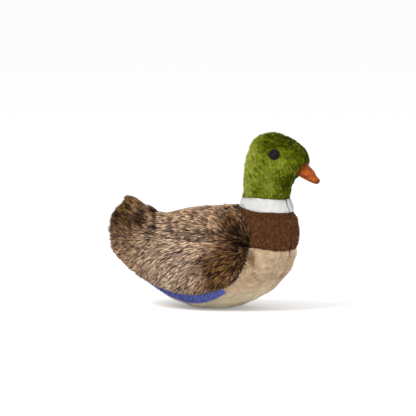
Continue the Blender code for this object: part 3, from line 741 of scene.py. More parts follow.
def inflated(points, faces, held, pressure):
    """The form blown up as cloth that is held at the marked points. It is cut a little larger
    than the form, so that it puckers. No point moves further than the cap: its move is the cap
    times the hyperbolic tangent of the move over the cap, along its normal."""
    made = add("cloth_form", mesh_of("cloth_form", points, faces))
    group = made.vertex_groups.new(name="held")
    group.add(np.flatnonzero(held).tolist(), 1.0, "REPLACE")
    cloth = made.modifiers.new("cloth", "CLOTH")
    settings = cloth.settings
    settings.quality = 4
    settings.vertex_group_mass = group.name
    settings.use_pressure = True
    settings.uniform_pressure_force = pressure
    settings.shrink_min = settings.shrink_max = -SPARE_CLOTH
    settings.effector_weights.gravity = 0
    scene = bpy.context.scene
    cloth.point_cache.frame_start, cloth.point_cache.frame_end = 1, CLOTH_FRAMES
    for frame_number in range(1, CLOTH_FRAMES + 1):
        scene.frame_set(frame_number)
    mesh = evaluated_mesh(made)
    moved, _ = arrays_of(mesh)
    bpy.data.meshes.remove(mesh)
    discard(made)
    scene.frame_set(1)
    normal = vertex_normals(points, faces)
    rise = ((moved - points) * normal).sum(1, keepdims=True)
    return points + normal * CLOTH_CAP * np.tanh(rise / CLOTH_CAP)


def subdivided(points, faces):
    """One Catmull-Clark subdivision."""
    made = add("even_form", mesh_of("even_form", points, faces))
    finer = made.modifiers.new("finer", "SUBSURF")
    finer.levels = finer.render_levels = 1
    mesh = evaluated_mesh(made)
    points, faces = arrays_of(mesh)
    bpy.data.meshes.remove(mesh)
    discard(made)
    return points, faces


def panel_numbers(x, z):
    """Which panel covers each place in the side view."""
    _, regions = seams()
    number = np.full(x.shape, PANELS.index("back"))
    for name in ("tail", "belly", "chest", "collar", "head"):
        number[within(regions[name], x, z)] = PANELS.index(name)
    return number


def spread(values, faces, count, function, start):
    """For each point, the least or greatest value of the faces round it."""
    found = np.full(count, start)
    function.at(found, faces.ravel(), np.repeat(values, faces.shape[1]))
    return found


def eye_place():
    """The eye's middle in the side view."""
    x = NECK_X + EYE_PLACE_SHARES[0] * HEAD_LENGTH
    return np.array([x, NECK_FOOT + EYE_PLACE_SHARES[1] * HEAD_RISE])


def bell(distance, reach):
    """A soft bell curve: 1 at no distance, and e to the minus square of distance over reach."""
    return np.exp(-((distance / reach) ** 2))


def front_groove(points):
    """How far the middle seam pulls the front of the neck and breast in: it fades with e to the
    minus distance from the middle, and up and down along a bell curve."""
    x, y, z = points.T
    middle, reach = FRONT_VALLEY_HEIGHTS
    deep = FRONT_VALLEY * bell(z - middle, reach) * (x > FRONT_X)
    return deep * np.exp(-np.abs(y) / FRONT_VALLEY_REACH)


def groove_shade_and_comb(place):
    """How much painted shade the front's groove has at a place, and how far its pile is combed away
    from the middle, each from 0 to 1. Both fall with the distance from the middle, and fade at the
    groove's ends."""
    x, y, z = place.T
    low, high = GROOVE_HEIGHTS
    fade = np.clip((z - low) / GROOVE_FADE, 0, 1) * np.clip((high - z) / GROOVE_FADE, 0, 1)
    fade *= x > FRONT_X
    away = np.abs(y)
    dark = 1 - np.clip((away - GROOVE_DARK) / GROOVE_PALING, 0, 1) ** 1.2
    return fade * dark, fade * np.clip(1 - away / GROOVE_COMBED, 0, 1)


@functools.lru_cache(maxsize=1)
def sewn_skin(pressure):
    """The whole skin with its seams, as points, normals, faces, each face's panel and side.

    The joined form starts a little inside the solids, is blown up as cloth that is held at the
    seams and eyes, and is divided finer. Points on the borders slide onto the seam lines. Then
    the surface sinks by the depth of each panel's pile, by a valley that fades with e to the
    minus distance from the seam, by the dents, and by the gathers, a cosine of the angle round
    the wing's front point. Slow waves add the lumps of the filling.
    """
    forms = [
        loft("skin_body", body_rings(BODY_RINGS, ROUND_SIDES)),
        loft("skin_head", head_rings(HEAD_RINGS, ROUND_SIDES)),
    ]
    points, faces = remeshed("skin", forms, SKIN_VOXEL)
    points = points - vertex_normals(points, faces) * START_DEPTH
    lines, _ = seams()
    _, gap = near_line(lines[2:5], points[:, [0, 2]])
    eye_gap = np.linalg.norm(points[:, [0, 2]] - eye_place(), axis=1)
    furry = panel_numbers(points[:, 0], points[:, 2]) >= PANELS.index("back")
    held = (gap < PIN_REACH) | (eye_gap < EYE_RADIUS) | (points[:, 2] < PIN_REACH)
    held |= (np.abs(points[:, 1]) < PIN_REACH) & ~furry
    points, faces = subdivided(inflated(points, faces, held, pressure), faces)

    middle = points[faces].mean(1)
    panel = panel_numbers(middle[:, 0], middle[:, 2])
    left = middle[:, 1] > 0
    count = len(points)
    low = spread(panel, faces, count, np.minimum, len(PANELS))
    high = spread(panel, faces, count, np.maximum, -1)
    any_left = spread(left, faces, count, np.maximum, False)
    any_right = spread(~left, faces, count, np.maximum, False)
    border = low != high
    middle_line = any_left & any_right
    normal = vertex_normals(points, faces)
    onto, _ = near_line(lines, points[border][:, [0, 2]])
    slide = np.zeros((border.sum(), 3))
    slide[:, [0, 2]] = onto - points[border][:, [0, 2]]
    slide -= normal[border] * (slide * normal[border]).sum(1, keepdims=True)
    length = np.linalg.norm(slide, axis=1, keepdims=True)
    points[border] += slide * np.minimum(1, SNAP_LIMIT / np.maximum(length, 1e-9))
    points[middle_line, 1] = 0

    seam = np.flatnonzero(border | middle_line)
    distance, which = nearest(points, points[seam])
    depths = np.array([PILE_DEPTH[name] for name in PANELS])
    own = depths[low]
    shared = ((depths[low] + depths[high]) / 2)[seam][which]
    blend = np.exp(-distance / (2 * VALLEY_REACH))
    sink = own * (1 - blend) + shared * blend
    furry = low >= PANELS.index("back")
    share = np.where(furry, 0.0, np.where(high >= PANELS.index("back"), 0.5, 1.0))
    at_collar = (low == PANELS.index("collar")) | (high == PANELS.index("collar"))
    share[at_collar & border] = COLLAR_VALLEY_SHARE
    sink += VALLEY_DEPTH * share[seam][which] * np.exp(-distance / VALLEY_REACH)
    x, z = points[:, 0], points[:, 2]
    sink += front_groove(points)
    for place, reach, height in SWELLS:
        sink -= height * bell(x - place[0], reach[0]) * bell(z - place[1], reach[1])
    for place, reach, depth, tilt in DENTS:
        across, up = x - place[0], z - place[1]
        cosine, sine = math.cos(math.radians(tilt)), math.sin(math.radians(tilt))
        u, v = across * cosine + up * sine, up * cosine - across * sine
        sink += depth * bell(u, reach[0]) * bell(v, reach[1]) * (np.abs(points[:, 1]) > MM)
    across, up = x - COAT_FAN[0], z - COAT_FAN[1]
    angle, run = np.arctan2(up, across), np.hypot(across, up)
    pucker = 0.5 + 0.5 * np.cos(GATHERS * angle + 3 * waves(points, 15 * MM, 5)[:, 0])
    sink += GATHER_DEPTH * pucker * np.exp(-run / GATHER_REACH) * ~furry
    away = 1 - bell(np.linalg.norm(points[:, [0, 2]] - eye_place(), axis=1), 1.6 * EYE_RADIUS)
    for number, (size, height) in enumerate(LUMP_SIZES):
        calm = np.where(low <= PANELS.index("collar"), 0.2, 1.0)
        sink += height * waves(points, size, 11 + number)[:, 0] * away * calm
    points = points - normal * sink[:, None]
    points[:, 2] = np.maximum(points[:, 2], REST_CLEARANCE)
    return points, vertex_normals(points, faces), distance, faces, panel, left


def panel_part(name, side, pressure):
    """One panel's own points, normals, distances from the seam, and faces."""
    points, normals, distance, faces, panel, left = sewn_skin(pressure)
    mine = faces[(panel == PANELS.index(name)) & (left == (side == "left"))]
    used, local = np.unique(mine, return_inverse=True)
    return points[used], normals[used], distance[used], local.reshape(-1, 4)


def thickened(points, normals, _, faces, thickness):
    """A closed sheet: the points, the same points moved in along their normals, and a strip
    round each free edge, which is a directed edge whose reverse is in no face."""
    count = len(points)
    ahead = np.roll(faces, -1, axis=1)
    start, end = faces.ravel(), ahead.ravel()
    free = ~np.isin(start.astype(np.int64) * count + end, end.astype(np.int64) * count + start)
    start, end = start[free], end[free]
    rim = np.stack([end, start, start + count, end + count], -1)
    inner = points - normals * thickness
    return np.vstack([points, inner]), np.vstack([faces, faces[:, ::-1] + count, rim])


def scattered(points, normals, distance, faces, density, seed):
    """Places, normals and distances from the seam, spread evenly by area: the picks are even
    steps along the running total of the triangles' areas, each jittered."""
    corners = halved(faces)
    order = np.arange(len(corners)).reshape(2, -1).T.ravel()
    corners = corners[order]
    a, b, c = (points[corners[:, k]] for k in range(3))
    area = np.linalg.norm(np.cross(b - a, c - a), axis=1) / 2
    rng = np.random.default_rng(seed)
    total = np.cumsum(area)
    count = int(total[-1] * density)
    picks = (np.arange(count) + rng.random(count)) / count * total[-1]
    which = np.minimum(np.searchsorted(total, picks), len(corners) - 1)
    u, v = rng.random((2, count))
    over = u + v > 1
    u, v = np.where(over, 1 - u, u), np.where(over, 1 - v, v)
    shares = np.stack([1 - u - v, u, v], -1)[..., None]
    place = (points[corners[which]] * shares).sum(1)
    from_seam = (distance[corners[which]] * shares[..., 0]).sum(1)
    return place, unit((normals[corners[which]] * shares).sum(1)), from_seam, rng


def swept(path, across, radius, corners, pointed):
    """Points and triangles of many tubes at once. Each has a ring of corners round each of its
    path's points, turned in the plane of the across vector and the one square to the path, and
    ends in a flat cap or in a point."""
    count, steps = path.shape[:2]
    rings = steps - 1 if pointed else steps
    along = unit(np.gradient(path, axis=1))
    beside = unit(across[:, None] - along * (across[:, None] * along).sum(-1, keepdims=True))
    over = np.cross(along, beside)
    turn = around(corners) + math.pi / 2
    round_it = (
        beside[:, :, None] * np.cos(turn)[:, None] + over[:, :, None] * np.sin(turn)[:, None]
    )
    points = path[:, :, None] + round_it * radius[:, :, None, None]
    points = points[:, :rings].reshape(count, -1, 3)
    index = np.arange(rings * corners).reshape(rings, corners)
    ahead = np.roll(index, -1, axis=1)
    a, b, c, d = index[:-1].ravel(), ahead[:-1].ravel(), ahead[1:].ravel(), index[1:].ravel()
    faces = [np.stack([a, b, c], -1), np.stack([a, c, d], -1)]
    fan = np.arange(1, corners - 1)
    faces.append(np.stack([0 * fan, fan + 1, fan], -1))
    if pointed:
        points = np.concatenate([points, path[:, -1:]], 1)
        tip = np.full(corners, rings * corners)
        faces.append(np.stack([index[-1], ahead[-1], tip], -1))
    else:
        faces.append(np.stack([0 * fan, fan, fan + 1], -1) + index[-1, 0])
    faces = np.concatenate(faces)
    each = points.shape[1]
    every = faces[None] + (np.arange(count) * each)[:, None, None]
    return points.reshape(-1, 3), every.reshape(-1, 3)


def along_strands(values, corners, pointed=True):
    """Values at each strand's steps, repeated for the corners of its rings."""
    rings = values[:, :-1] if pointed else values
    repeated = np.repeat(rings, corners, axis=1)
    if pointed:
        repeated = np.concatenate([repeated, values[:, -1:]], 1)
    return repeated.reshape(-1, values.shape[-1])


def tangent(vectors, normals):
    """The part of the vectors that lies in the surface."""
    return vectors - normals * (vectors * normals).sum(-1, keepdims=True)


def mixed(a, b, share):
    """From one colour to the other, at each share of the way."""
    return np.asarray(a) * (1 - share[..., None]) + np.asarray(b) * share[..., None]


def velvet_pile(
    part, length, density, width, colours, patch, seed,
    bare=None, tone_and_painted_light_at=None, contrast=1.0, guards=0.0,
):
    """Short strands that stand on a panel: each is a three-sided spike that leans along the nap and
    along slow vector waves, so that patches lie different ways, as on crushed velvet. They are
    shorter in the valley of a seam and darker there with painted shade, most of all along the front,
    where they lie away from it. Their roots are darker with painted shade deep in the pile. A few
    strands are longer and paler."""
    place, normal, from_seam, rng = scattered(*part, density, seed)
    if bare is not None:
        keep = ~bare(place)
        place, normal, from_seam = place[keep], normal[keep], from_seam[keep]
    count = len(place)
    lean = 0.7 * waves(place, patch, seed + 1, 3) + 0.5 * waves(place, patch / 3, seed + 2, 3)
    lean += 0.5 * waves(place, 2.6 * MM, seed + 5, 3)
    lean += (-0.25, 0, -0.45) + 0.25 * rng.normal(size=(count, 3))
    deep, inside = groove_shade_and_comb(place)
    lean[:, 1] += 3.5 * np.sign(place[:, 1]) * inside
    lean = tangent(lean, normal)
    direction = unit(normal + 0.95 * lean)
    open_share = 1 - np.exp(-from_seam / (1.0 * MM))
    size = length * rng.uniform(0.7, 1.15, count) * (0.5 + 0.5 * open_share)
    size *= 1 - 0.65 * inside
    guard = rng.random(count) < guards
    size[guard] *= 1.3
    tip = place + direction * size[:, None]
    tip[:, 2] = np.maximum(tip[:, 2], REST_CLEARANCE / 2)
    path = np.stack([place - normal * 0.2 * MM, tip], 1)
    radius = np.full((count, 2), width / 2) * rng.uniform(0.75, 1.25, (count, 1))
    solid = swept(path, np.cross(normal, direction) + 1e-9, radius, 3, True)
    dark, middle, light = (np.array(colour) for colour in colours)
    tone = 0.35 * waves(place, patch * 0.8, seed + 3)[:, 0]
    tone += 0.75 * waves(place, 2.2 * MM, seed + 4)[:, 0] + 0.35 * rng.normal(size=count)
    tone = contrast * (tone + 1.1 * guard)
    # Given areas add their tone: partly the nap's lie, partly painted light and shade.
    if tone_and_painted_light_at is not None:
        tone += tone_and_painted_light_at(place)
    shade = tones_between((dark, middle, light), np.clip(0.5 + tone / 2, 0, 1))
    # Painted shade in the valley of a seam.
    shade = shade * (0.35 + 0.65 * open_share)[:, None]
    # Painted shade in the front's groove, darkest along its middle.
    shade *= 1 - 0.9 * deep[:, None]
    # Darker at the root: painted shade deep in the pile.
    steps = shade[:, None] * np.array(VELVET_SHADES)[:, None]
    return *solid, np.clip(along_strands(steps, 3), 0, 1)


def coat_flow(place):
    """The way the coat's pile points at a place: the guides' directions in the side view, each
    weighted by one over its distance to the fourth, and near the wing's front point straight
    away from that."""
    guides = np.array(COAT_GUIDES, float)
    side = place[:, [0, 2]]
    gap = np.linalg.norm(side[:, None] - guides[:, :2] * MM, axis=-1)
    weight = 1 / (gap**2 + GUIDE_REACH**2) ** 2
    angle = np.radians(guides[:, 2])
    flow = weight @ np.stack([-np.cos(angle), np.sin(angle)], -1)
    fan = side - COAT_FAN
    share = bell(np.linalg.norm(fan, axis=1), FAN_REACH)[:, None]
    flow = unit(unit(flow) * (1 - share) + unit(fan) * share)
    return np.stack([flow[:, 0], np.zeros(len(flow)), flow[:, 1]], -1)


def coat_pile(part, sizes, colours, seed, shape):
    """Long strands that lie back over each other. Each rises from its root and bends flat: its
    height over the surface is the lift times the run plus an arch. Strands gather into locks, whose
    tips draw together, and a lock has its own tone, darker at the roots, partly by the coat's own
    tipped colour and partly with painted shade deep in the coat."""
    place, normal, _, rng = scattered(*part, sizes.coat_density * 1e6, seed)
    keep = rng.random(len(place)) < shape(place)[2]
    place, normal = place[keep], normal[keep]
    share, flatten, _, shift, spill = shape(place)
    count = len(place)
    lock_count = max(int(count / STRANDS_IN_LOCK), 1)
    locks = rng.choice(count, lock_count, replace=False)
    _, lock = nearest(place, place[locks])
    flow = coat_flow(place) + 0.05 * waves(place, 14 * MM, seed + 1, 3) + spill
    flow += 0.06 * rng.normal(size=(lock_count, 3))[lock] + 0.03 * rng.normal(size=(count, 3))
    flow = unit(tangent(flow, normal))
    place = place + tangent(shift, normal)
    length = sizes.coat_length * rng.uniform(0.7, 1.1, lock_count)[lock]
    length *= rng.uniform(0.88, 1.08, count)
    lift = np.radians(rng.uniform(3.5, 10, lock_count)[lock] + rng.uniform(-1.5, 1.5, count))
    length *= share
    lift *= flatten
    steps = np.array(COAT_STEPS)
    height = np.sin(lift)[:, None] * steps + COAT_ARCH * steps * (1 - steps)
    run = np.cos(lift)[:, None] * steps
    path = place[:, None] - normal[:, None] * 0.5 * MM + length[:, None, None] * (
        flow[:, None] * run[..., None] + normal[:, None] * height[..., None]
    )
    gather = (0.55 * steps**1.3)[:, None]
    path = path + (path[locks][lock] - path) * gather
    curl = waves(path.reshape(-1, 3), 7 * MM, seed + 2, 3).reshape(path.shape)
    path += tangent(curl, normal[:, None]) * (0.08 * MM * steps)[:, None]
    path[..., 2] = np.maximum(path[..., 2], REST_CLEARANCE / 2)
    radius = sizes.coat_width / 2 * rng.uniform(0.7, 1.3, (count, 1)) * (1.0, 1.0, 0.9, 0.0)
    solid = swept(path, np.cross(normal, flow), radius, 3, True)
    tone = rng.beta(0.6, 0.6, lock_count)[lock] + 0.1 * rng.normal(size=count)
    tone = np.clip(tone + 0.12 * waves(place, 20 * MM, seed + 3)[:, 0], 0, 1)
    dark, brown, tan, gold = (np.array(colour) for colour in colours)
    tip = tones_between((dark, brown, tan), tone)
    x, z = COAT_PALE
    pale = bell(np.hypot(place[:, 0] - x * MM, place[:, 2] - z * MM), PALE_REACH * MM)
    tip = tip * mixed(WARM_TINT, PALE_TINT, pale)
    streak = np.clip((tone - 0.75) / 0.25, 0, 1)
    deep = tones_between(
        (dark * 0.06, dark * 0.35 * (1.2, 0.8, 0.45), brown * 0.15 * (1.1, 0.85, 0.55)), tone
    )
    tuft, dusk = patches_of(COAT_TUFT, place), patches_of(COAT_DUSK, place)
    tip = mixed(tip * mixed(np.ones(3), TUFT_TINT, tuft), mixed(deep, gold * 0.5, streak), tuft)
    dusky = mixed(deep, gold * (0.54, 0.47, 0.42) + tan * 0.05, streak)
    tip = mixed(tip * mixed(np.ones(3), DUSK_TINT, dusk), dusky, dusk)
    # Darker near the wing's front point, where the coat gathers: painted shade in the gather.
    pinch_shade = bell(np.linalg.norm(place[:, [0, 2]] - COAT_FAN, axis=1), 8 * MM)
    tip = tip * (1 - 0.4 * pinch_shade)[:, None]
    # Darker towards the root: partly the coat's tipped colour, partly painted shade deep in the
    # coat.
    shade = tip[:, None] * np.array(COAT_SHADES)[:, None]
    return *solid, np.clip(along_strands(shade, 3), 0, 1)


def tones_between(colours, share):
    """The colour at each share of the way through evenly spaced ones."""
    steps = np.linspace(0, 1, len(colours))
    colours = np.array(colours)
    return np.stack([np.interp(share, steps, colours[:, k]) for k in range(3)], -1)


def patches_of(table, place):
    """How far each place lies in any of the table's patches of the side view, from 0 to 1."""
    found = [
        bell(np.hypot(place[:, 0] - x * MM, place[:, 2] - z * MM), 1.2 * reach * MM)
        for x, z, reach in table
    ]
    return np.max(found, 0)


def wing_lines(columns):
    """The wing's top edge, its foot, and the share of the way down at which its fur ends."""
    front = side_line([WING_FRONT_SHARES, WING_FRONT_SHARES], 2)[0]
    size = np.array([-WING_LENGTH, -WING_DEPTH])
    top = front + curve_through(WING_TOP_SHARES, columns) * size
    foot = front + curve_through(WING_FOOT_SHARES, columns) * size
    return top, foot, np.minimum(curve_through(WING_FUR_SHARES, columns), 0.988)


def draped(top, foot, first, last, rows):
    """Rows of places between two shares of the way from one line to another in the side view,
    evenly spaced on the body's side, which turns under towards the foot."""
    first, last = (np.ravel(share) + np.zeros(len(top)) for share in (first, last))
    share = first + (last - first) * np.linspace(0, 1, 60)[:, None]
    places = top + (foot - top) * share[..., None]
    points = body_side(places[..., 0], places[..., 1], np.zeros(share.shape))
    steps = np.linalg.norm(np.diff(points, axis=0), axis=-1)
    run = np.vstack([np.zeros(steps.shape[1]), np.cumsum(steps, 0)])
    even = np.linspace(0, 1, rows)
    columns = [np.interp(even * run[-1, k], run[:, k], share[:, k]) for k in range(run.shape[1])]
    return top + (foot - top) * np.stack(columns, 1)[..., None]


def swelling(rows, columns, edge, middle):
    """A thickness that swells from the edges of a grid to its middle: the root of two half sine
    waves multiplied."""
    across = np.sin(np.linspace(0, math.pi, rows))[:, None]
    along = np.sin(np.linspace(0, math.pi, columns))[None, :]
    return edge + (middle - edge) * np.sqrt(np.clip(across * along, 0, None))


def sheet_arrays(low, high):
    """The closed surface between two grids of points, which faces out where the second grid is
    further out."""
    rows, columns = low.shape[:2]
    index = np.arange(rows * columns).reshape(rows, columns)
    quads = np.stack([index[:-1, :-1], index[1:, :-1], index[1:, 1:], index[:-1, 1:]], -1)
    quads = quads.reshape(-1, 4)
    rim = np.concatenate([index[0], index[1:, -1], index[-1, -2::-1], index[-2:0:-1, 0]])
    beside = np.roll(rim, -1)
    above = rows * columns
    faces = np.vstack(
        [
            quads[:, ::-1],
            quads + above,
            np.stack([rim, rim + above, beside + above, beside], -1),
        ]
    )
    return np.vstack([low.reshape(-1, 3), high.reshape(-1, 3)]), faces, quads


def outward(points, faces):
    """The faces, turned round if the closed surface's volume comes out negative."""
    a, b, c = (points[faces[:, k]] for k in range(3))
    volume = (a * np.cross(b, c)).sum()
    if faces.shape[1] == 4:
        volume += (a * np.cross(c, points[faces[:, 3]])).sum()
    return faces if volume > 0 else faces[:, ::-1]


def mirrored(points, faces, sign):
    """The left side's shape on the given side."""
    points = points * (1, sign, 1)
    return points, (faces if sign > 0 else faces[:, ::-1])


def nodes_of(name, roughness, sheen=0.0):
    """A new material's tree and shader, with these set on the shader's own sockets."""
    made = bpy.data.materials.new(name)
    made.use_nodes = True
    shader = made.node_tree.nodes["Principled BSDF"]
    shader.inputs["Roughness"].default_value = roughness
    shader.inputs["Sheen Weight"].default_value = sheen
    shader.inputs["Sheen Roughness"].default_value = 0.5
    shader.inputs["Specular IOR Level"].default_value = 0.04
    return made, made.node_tree, shader


def noise(tree, scale, detail=3.0, stretch=None):
    """Noise on Object coordinates, stretched by a Mapping node if asked."""
    place = tree.nodes.new("ShaderNodeTexCoord")
    made = tree.nodes.new("ShaderNodeTexNoise")
    made.inputs["Scale"].default_value = scale
    made.inputs["Detail"].default_value = detail
    source = place.outputs["Object"]
    if stretch:
        mapping = tree.nodes.new("ShaderNodeMapping")
        mapping.inputs["Scale"].default_value = stretch
        tree.links.new(source, mapping.inputs["Vector"])
        source = mapping.outputs["Vector"]
    tree.links.new(source, made.inputs["Vector"])
    return made.outputs["Fac"]


def bumped(tree, shader, source, strength, distance):
    """Feeds a height into the shader's normal."""
    bump = tree.nodes.new("ShaderNodeBump")
    bump.inputs["Strength"].default_value = strength
    bump.inputs["Distance"].default_value = distance
    tree.links.new(source, bump.inputs["Height"])
    tree.links.new(bump.outputs["Normal"], shader.inputs["Normal"])


def cloth_finish(name, dark, light, scale=350.0, roughness=0.9, sheen=0.3):
    """Woven or napped cloth: two tones over noise, with a finer noise as its grain."""
    made, tree, shader = nodes_of(name, roughness, sheen)
    ramp = tree.nodes.new("ShaderNodeValToRGB")
    ramp.color_ramp.elements[0].position, ramp.color_ramp.elements[1].position = 0.3, 0.7
    ramp.color_ramp.elements[0].color = (*dark, 1)
    ramp.color_ramp.elements[1].color = (*light, 1)
    tree.links.new(noise(tree, scale / 3), ramp.inputs["Fac"])
    tree.links.new(ramp.outputs["Color"], shader.inputs["Base Color"])
    bumped(tree, shader, noise(tree, scale * 4, 4.0), 0.5, 0.3 * MM)
    return made


def dye_and_shade_finish(name, roughness=0.75, sheen=0.0, grain=None):
    """A finish whose colour is the one carried at each point, real colour and painted shade both,
    with fine grain if asked.
    """
    made, tree, shader = nodes_of(name, roughness, sheen)
    dye_and_shade = tree.nodes.new("ShaderNodeAttribute")
    dye_and_shade.attribute_name = "dye_and_shade"
    source = dye_and_shade.outputs["Color"]
    if grain:
        mix = tree.nodes.new("ShaderNodeMix")
        mix.data_type, mix.blend_type = "RGBA", "MULTIPLY"
        mix.inputs["Factor"].default_value = 0.45
        ramp = tree.nodes.new("ShaderNodeValToRGB")
        ramp.color_ramp.elements[0].position, ramp.color_ramp.elements[1].position = 0.3, 0.65
        ramp.color_ramp.elements[0].color = (0.35, 0.35, 0.35, 1)
        tree.links.new(noise(tree, grain, 4.0), ramp.inputs["Fac"])
        tree.links.new(source, mix.inputs["A"])
        tree.links.new(ramp.outputs["Color"], mix.inputs["B"])
        source = mix.outputs["Result"]
        bumped(tree, shader, noise(tree, grain * 2, 5.0), 0.6, 0.25 * MM)
    tree.links.new(source, shader.inputs["Base Color"])
    return made


def placed(made, body, slot, *nodes):
    """Puts a piece on its body, for its nodes. Its slot is not used."""
    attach(made, body)
    if nodes:
        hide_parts(*nodes)
    return made


class PlushDuckSizes(bpy.types.PropertyGroup):
    """Lengths and counts of the pile and the filling."""

    pressure: bpy.props.FloatProperty(
        name="Filling", description="Pressure that the skin is blown up with", default=400.0, min=0
    )
    velvet_length: length_property("Velvet pile", "Length of the short pile", 2.1 * MM)
    velvet_width: length_property("Velvet strand", "Width of a strand of the short pile", 0.4 * MM)
    velvet_density: bpy.props.FloatProperty(
        name="Velvet density", description="Short strands on each square millimetre",
        default=3.0, min=0.1, max=6,
    )
    coat_length: length_property("Coat pile", "Length of the long pile", 12.0 * MM)
    coat_width: length_property("Coat strand", "Width of a strand of the long pile", 0.46 * MM)
    coat_density: bpy.props.FloatProperty(
        name="Coat density", description="Long strands on each square millimetre",
        default=2.05, min=0.1, max=3,
    )


class PlushDuckColours(bpy.types.PropertyGroup):
    """Dyes of the cloth, pile and thread."""

    head: colour_property("Head", "Middle tone of the head's velvet", "#8a9817")
    head_dark: colour_property("Head, dark", "Dark tone of the head's velvet", "#353b02")
    head_light: colour_property("Head, light", "Light tone of the head's velvet", "#c4ca62")
    collar: colour_property("Collar", "Collar's velvet", "#f6f6f3")
    chest: colour_property("Chest", "Middle tone of the chest's velvet", "#6a4226")
    chest_light: colour_property("Chest, light", "Light tone of the chest's velvet", "#936e4f")
    belly: colour_property("Belly", "Belly's velvet", "#e4ceb1")
    belly_dark: colour_property("Belly, dark", "Dark tone of the belly's velvet", "#a07e58")
    coat_dark: colour_property("Coat, dark", "Dark strands of the coat", "#4b3a36")
    coat_brown: colour_property("Coat, brown", "Middle strands of the coat", "#b09581")
    coat_tan: colour_property("Coat, tan", "Light strands of the coat", "#f2d9b8")
    coat_gold: colour_property("Coat, gold", "Golden streaks of the tail", "#cf9d55")
    # The cloth under the coat: its dark brown is painted shade deep in the coat.
    coat_ground_in_shade: colour_property("Coat, ground", "Cloth under the coat", "#281a10")
    band: colour_property("Band", "Band along the wing's foot", "#6c76be")
    lining: colour_property("Lining", "Cloth under the wing", "#a98a63")
    beak: colour_property("Beak", "Beak's suede", "#964b1b")
    thread: colour_property("Thread", "Thread of the eyes", "#0d0c0f")
    filling: colour_property("Filling", "Polyester filling", "#efeee9")


def settings():
    """The sizes and the colours that the panel shows."""
    scene = bpy.context.scene
    return scene.plush_duck_sizes, scene.plush_duck_colours


def toned(colour, factor):
    """A colour made darker or lighter."""
    return tuple(min(1.0, c * factor) for c in colour)


def coat_dyes(colours):
    """The coat's four dyes, from dark to gold."""
    return colours.coat_dark, colours.coat_brown, colours.coat_tan, colours.coat_gold


class PLUSHDUCK_OT_velvet(bpy.types.Operator):
    """Sews the head, collar, chest and belly, and raises their short pile"""

    bl_idname = "plush_duck.velvet"
    bl_label = "Velvet panels"

    def execute(self, context):
        sizes, colours = settings()
        eye = eye_place()
        tones = {
            "head": (colours.head_dark, colours.head, colours.head_light),
            "collar": (toned(colours.collar, 0.72), colours.collar, toned(colours.collar, 1.06)),
            "chest": (toned(colours.chest, 0.45), colours.chest, colours.chest_light),
            "belly": (colours.belly_dark, colours.belly, toned(colours.belly, 1.3)),
        }
        slots = {
            "head": "green_velour", "collar": "white_velour",
            "chest": "brown_velour", "belly": "cream_velour",
        }
        patches = {"head": 11 * MM, "collar": 16 * MM, "chest": 6 * MM, "belly": 20 * MM}
        contrasts = {"head": (1.25, 0.06), "collar": (0.6,), "chest": (0.9, 0.02), "belly": (0.45,)}
        # The head's pile is denser and finer than the others'.
        finer = {"head": 1.35}

        def bare(place):
            near_eye = np.linalg.norm(place[:, [0, 2]] - eye, axis=1) < EYE_RADIUS - 0.3 * MM
            return near_eye | (place[:, 2] < 2 * REST_CLEARANCE)

        def tone_from(table):
            return lambda place: sum(
                tone * bell(place[:, 0] - spot[0], reach[0]) * bell(place[:, 2] - spot[1], reach[1])
                for spot, reach, tone in table
            )

        areas = {"head": tone_from(HEAD_NAP_AND_PAINTED_LIGHT), "belly": tone_from(BELLY_PAINTED_LIGHT_AND_SHADE)}
        for number, (name, (dark, middle, light)) in enumerate(tones.items()):
            cloth = dye_and_shade_finish(name + "_cloth", 0.9)
            strands = dye_and_shade_finish(name + "_strands", 0.8)
            for side in SIDES:
                part = panel_part(name, side, sizes.pressure)
                points, faces = thickened(*part, CLOTH)
                share = np.clip(0.5 + 0.5 * waves(points, 6 * MM, 19)[:, 0], 0, 1)
                # The cloth is darker towards a seam: painted shade in its valley.
                share *= 1 - np.exp(-np.tile(part[2], 2) / MM)
                dye_and_shade = mixed(dark, toned(middle, 0.8), share)
                # Painted shade in the front's groove, on the cloth as well.
                dye_and_shade *= 1 - 0.9 * groove_shade_and_comb(points)[0][:, None]
                piece = add(f"{name}_{side}_cloth", mesh_of(name, points, faces, dye_and_shade), cloth)
                placed(piece, "body", slots[name], f"{name}_{side}")
                fine = finer.get(name, 1.0)
                pile = velvet_pile(
                    part, sizes.velvet_length, sizes.velvet_density * 1e6 * fine,
                    sizes.velvet_width / math.sqrt(fine),
                    (dark, middle, light), patches[name], 20 + 10 * number + (side == "left"), bare,
                    areas.get(name), *contrasts[name],
                )
                pile = add(f"{name}_{side}_pile", mesh_of(name + "_pile", *pile), strands)
                placed(pile, "body", slots[name])
        return {"FINISHED"}


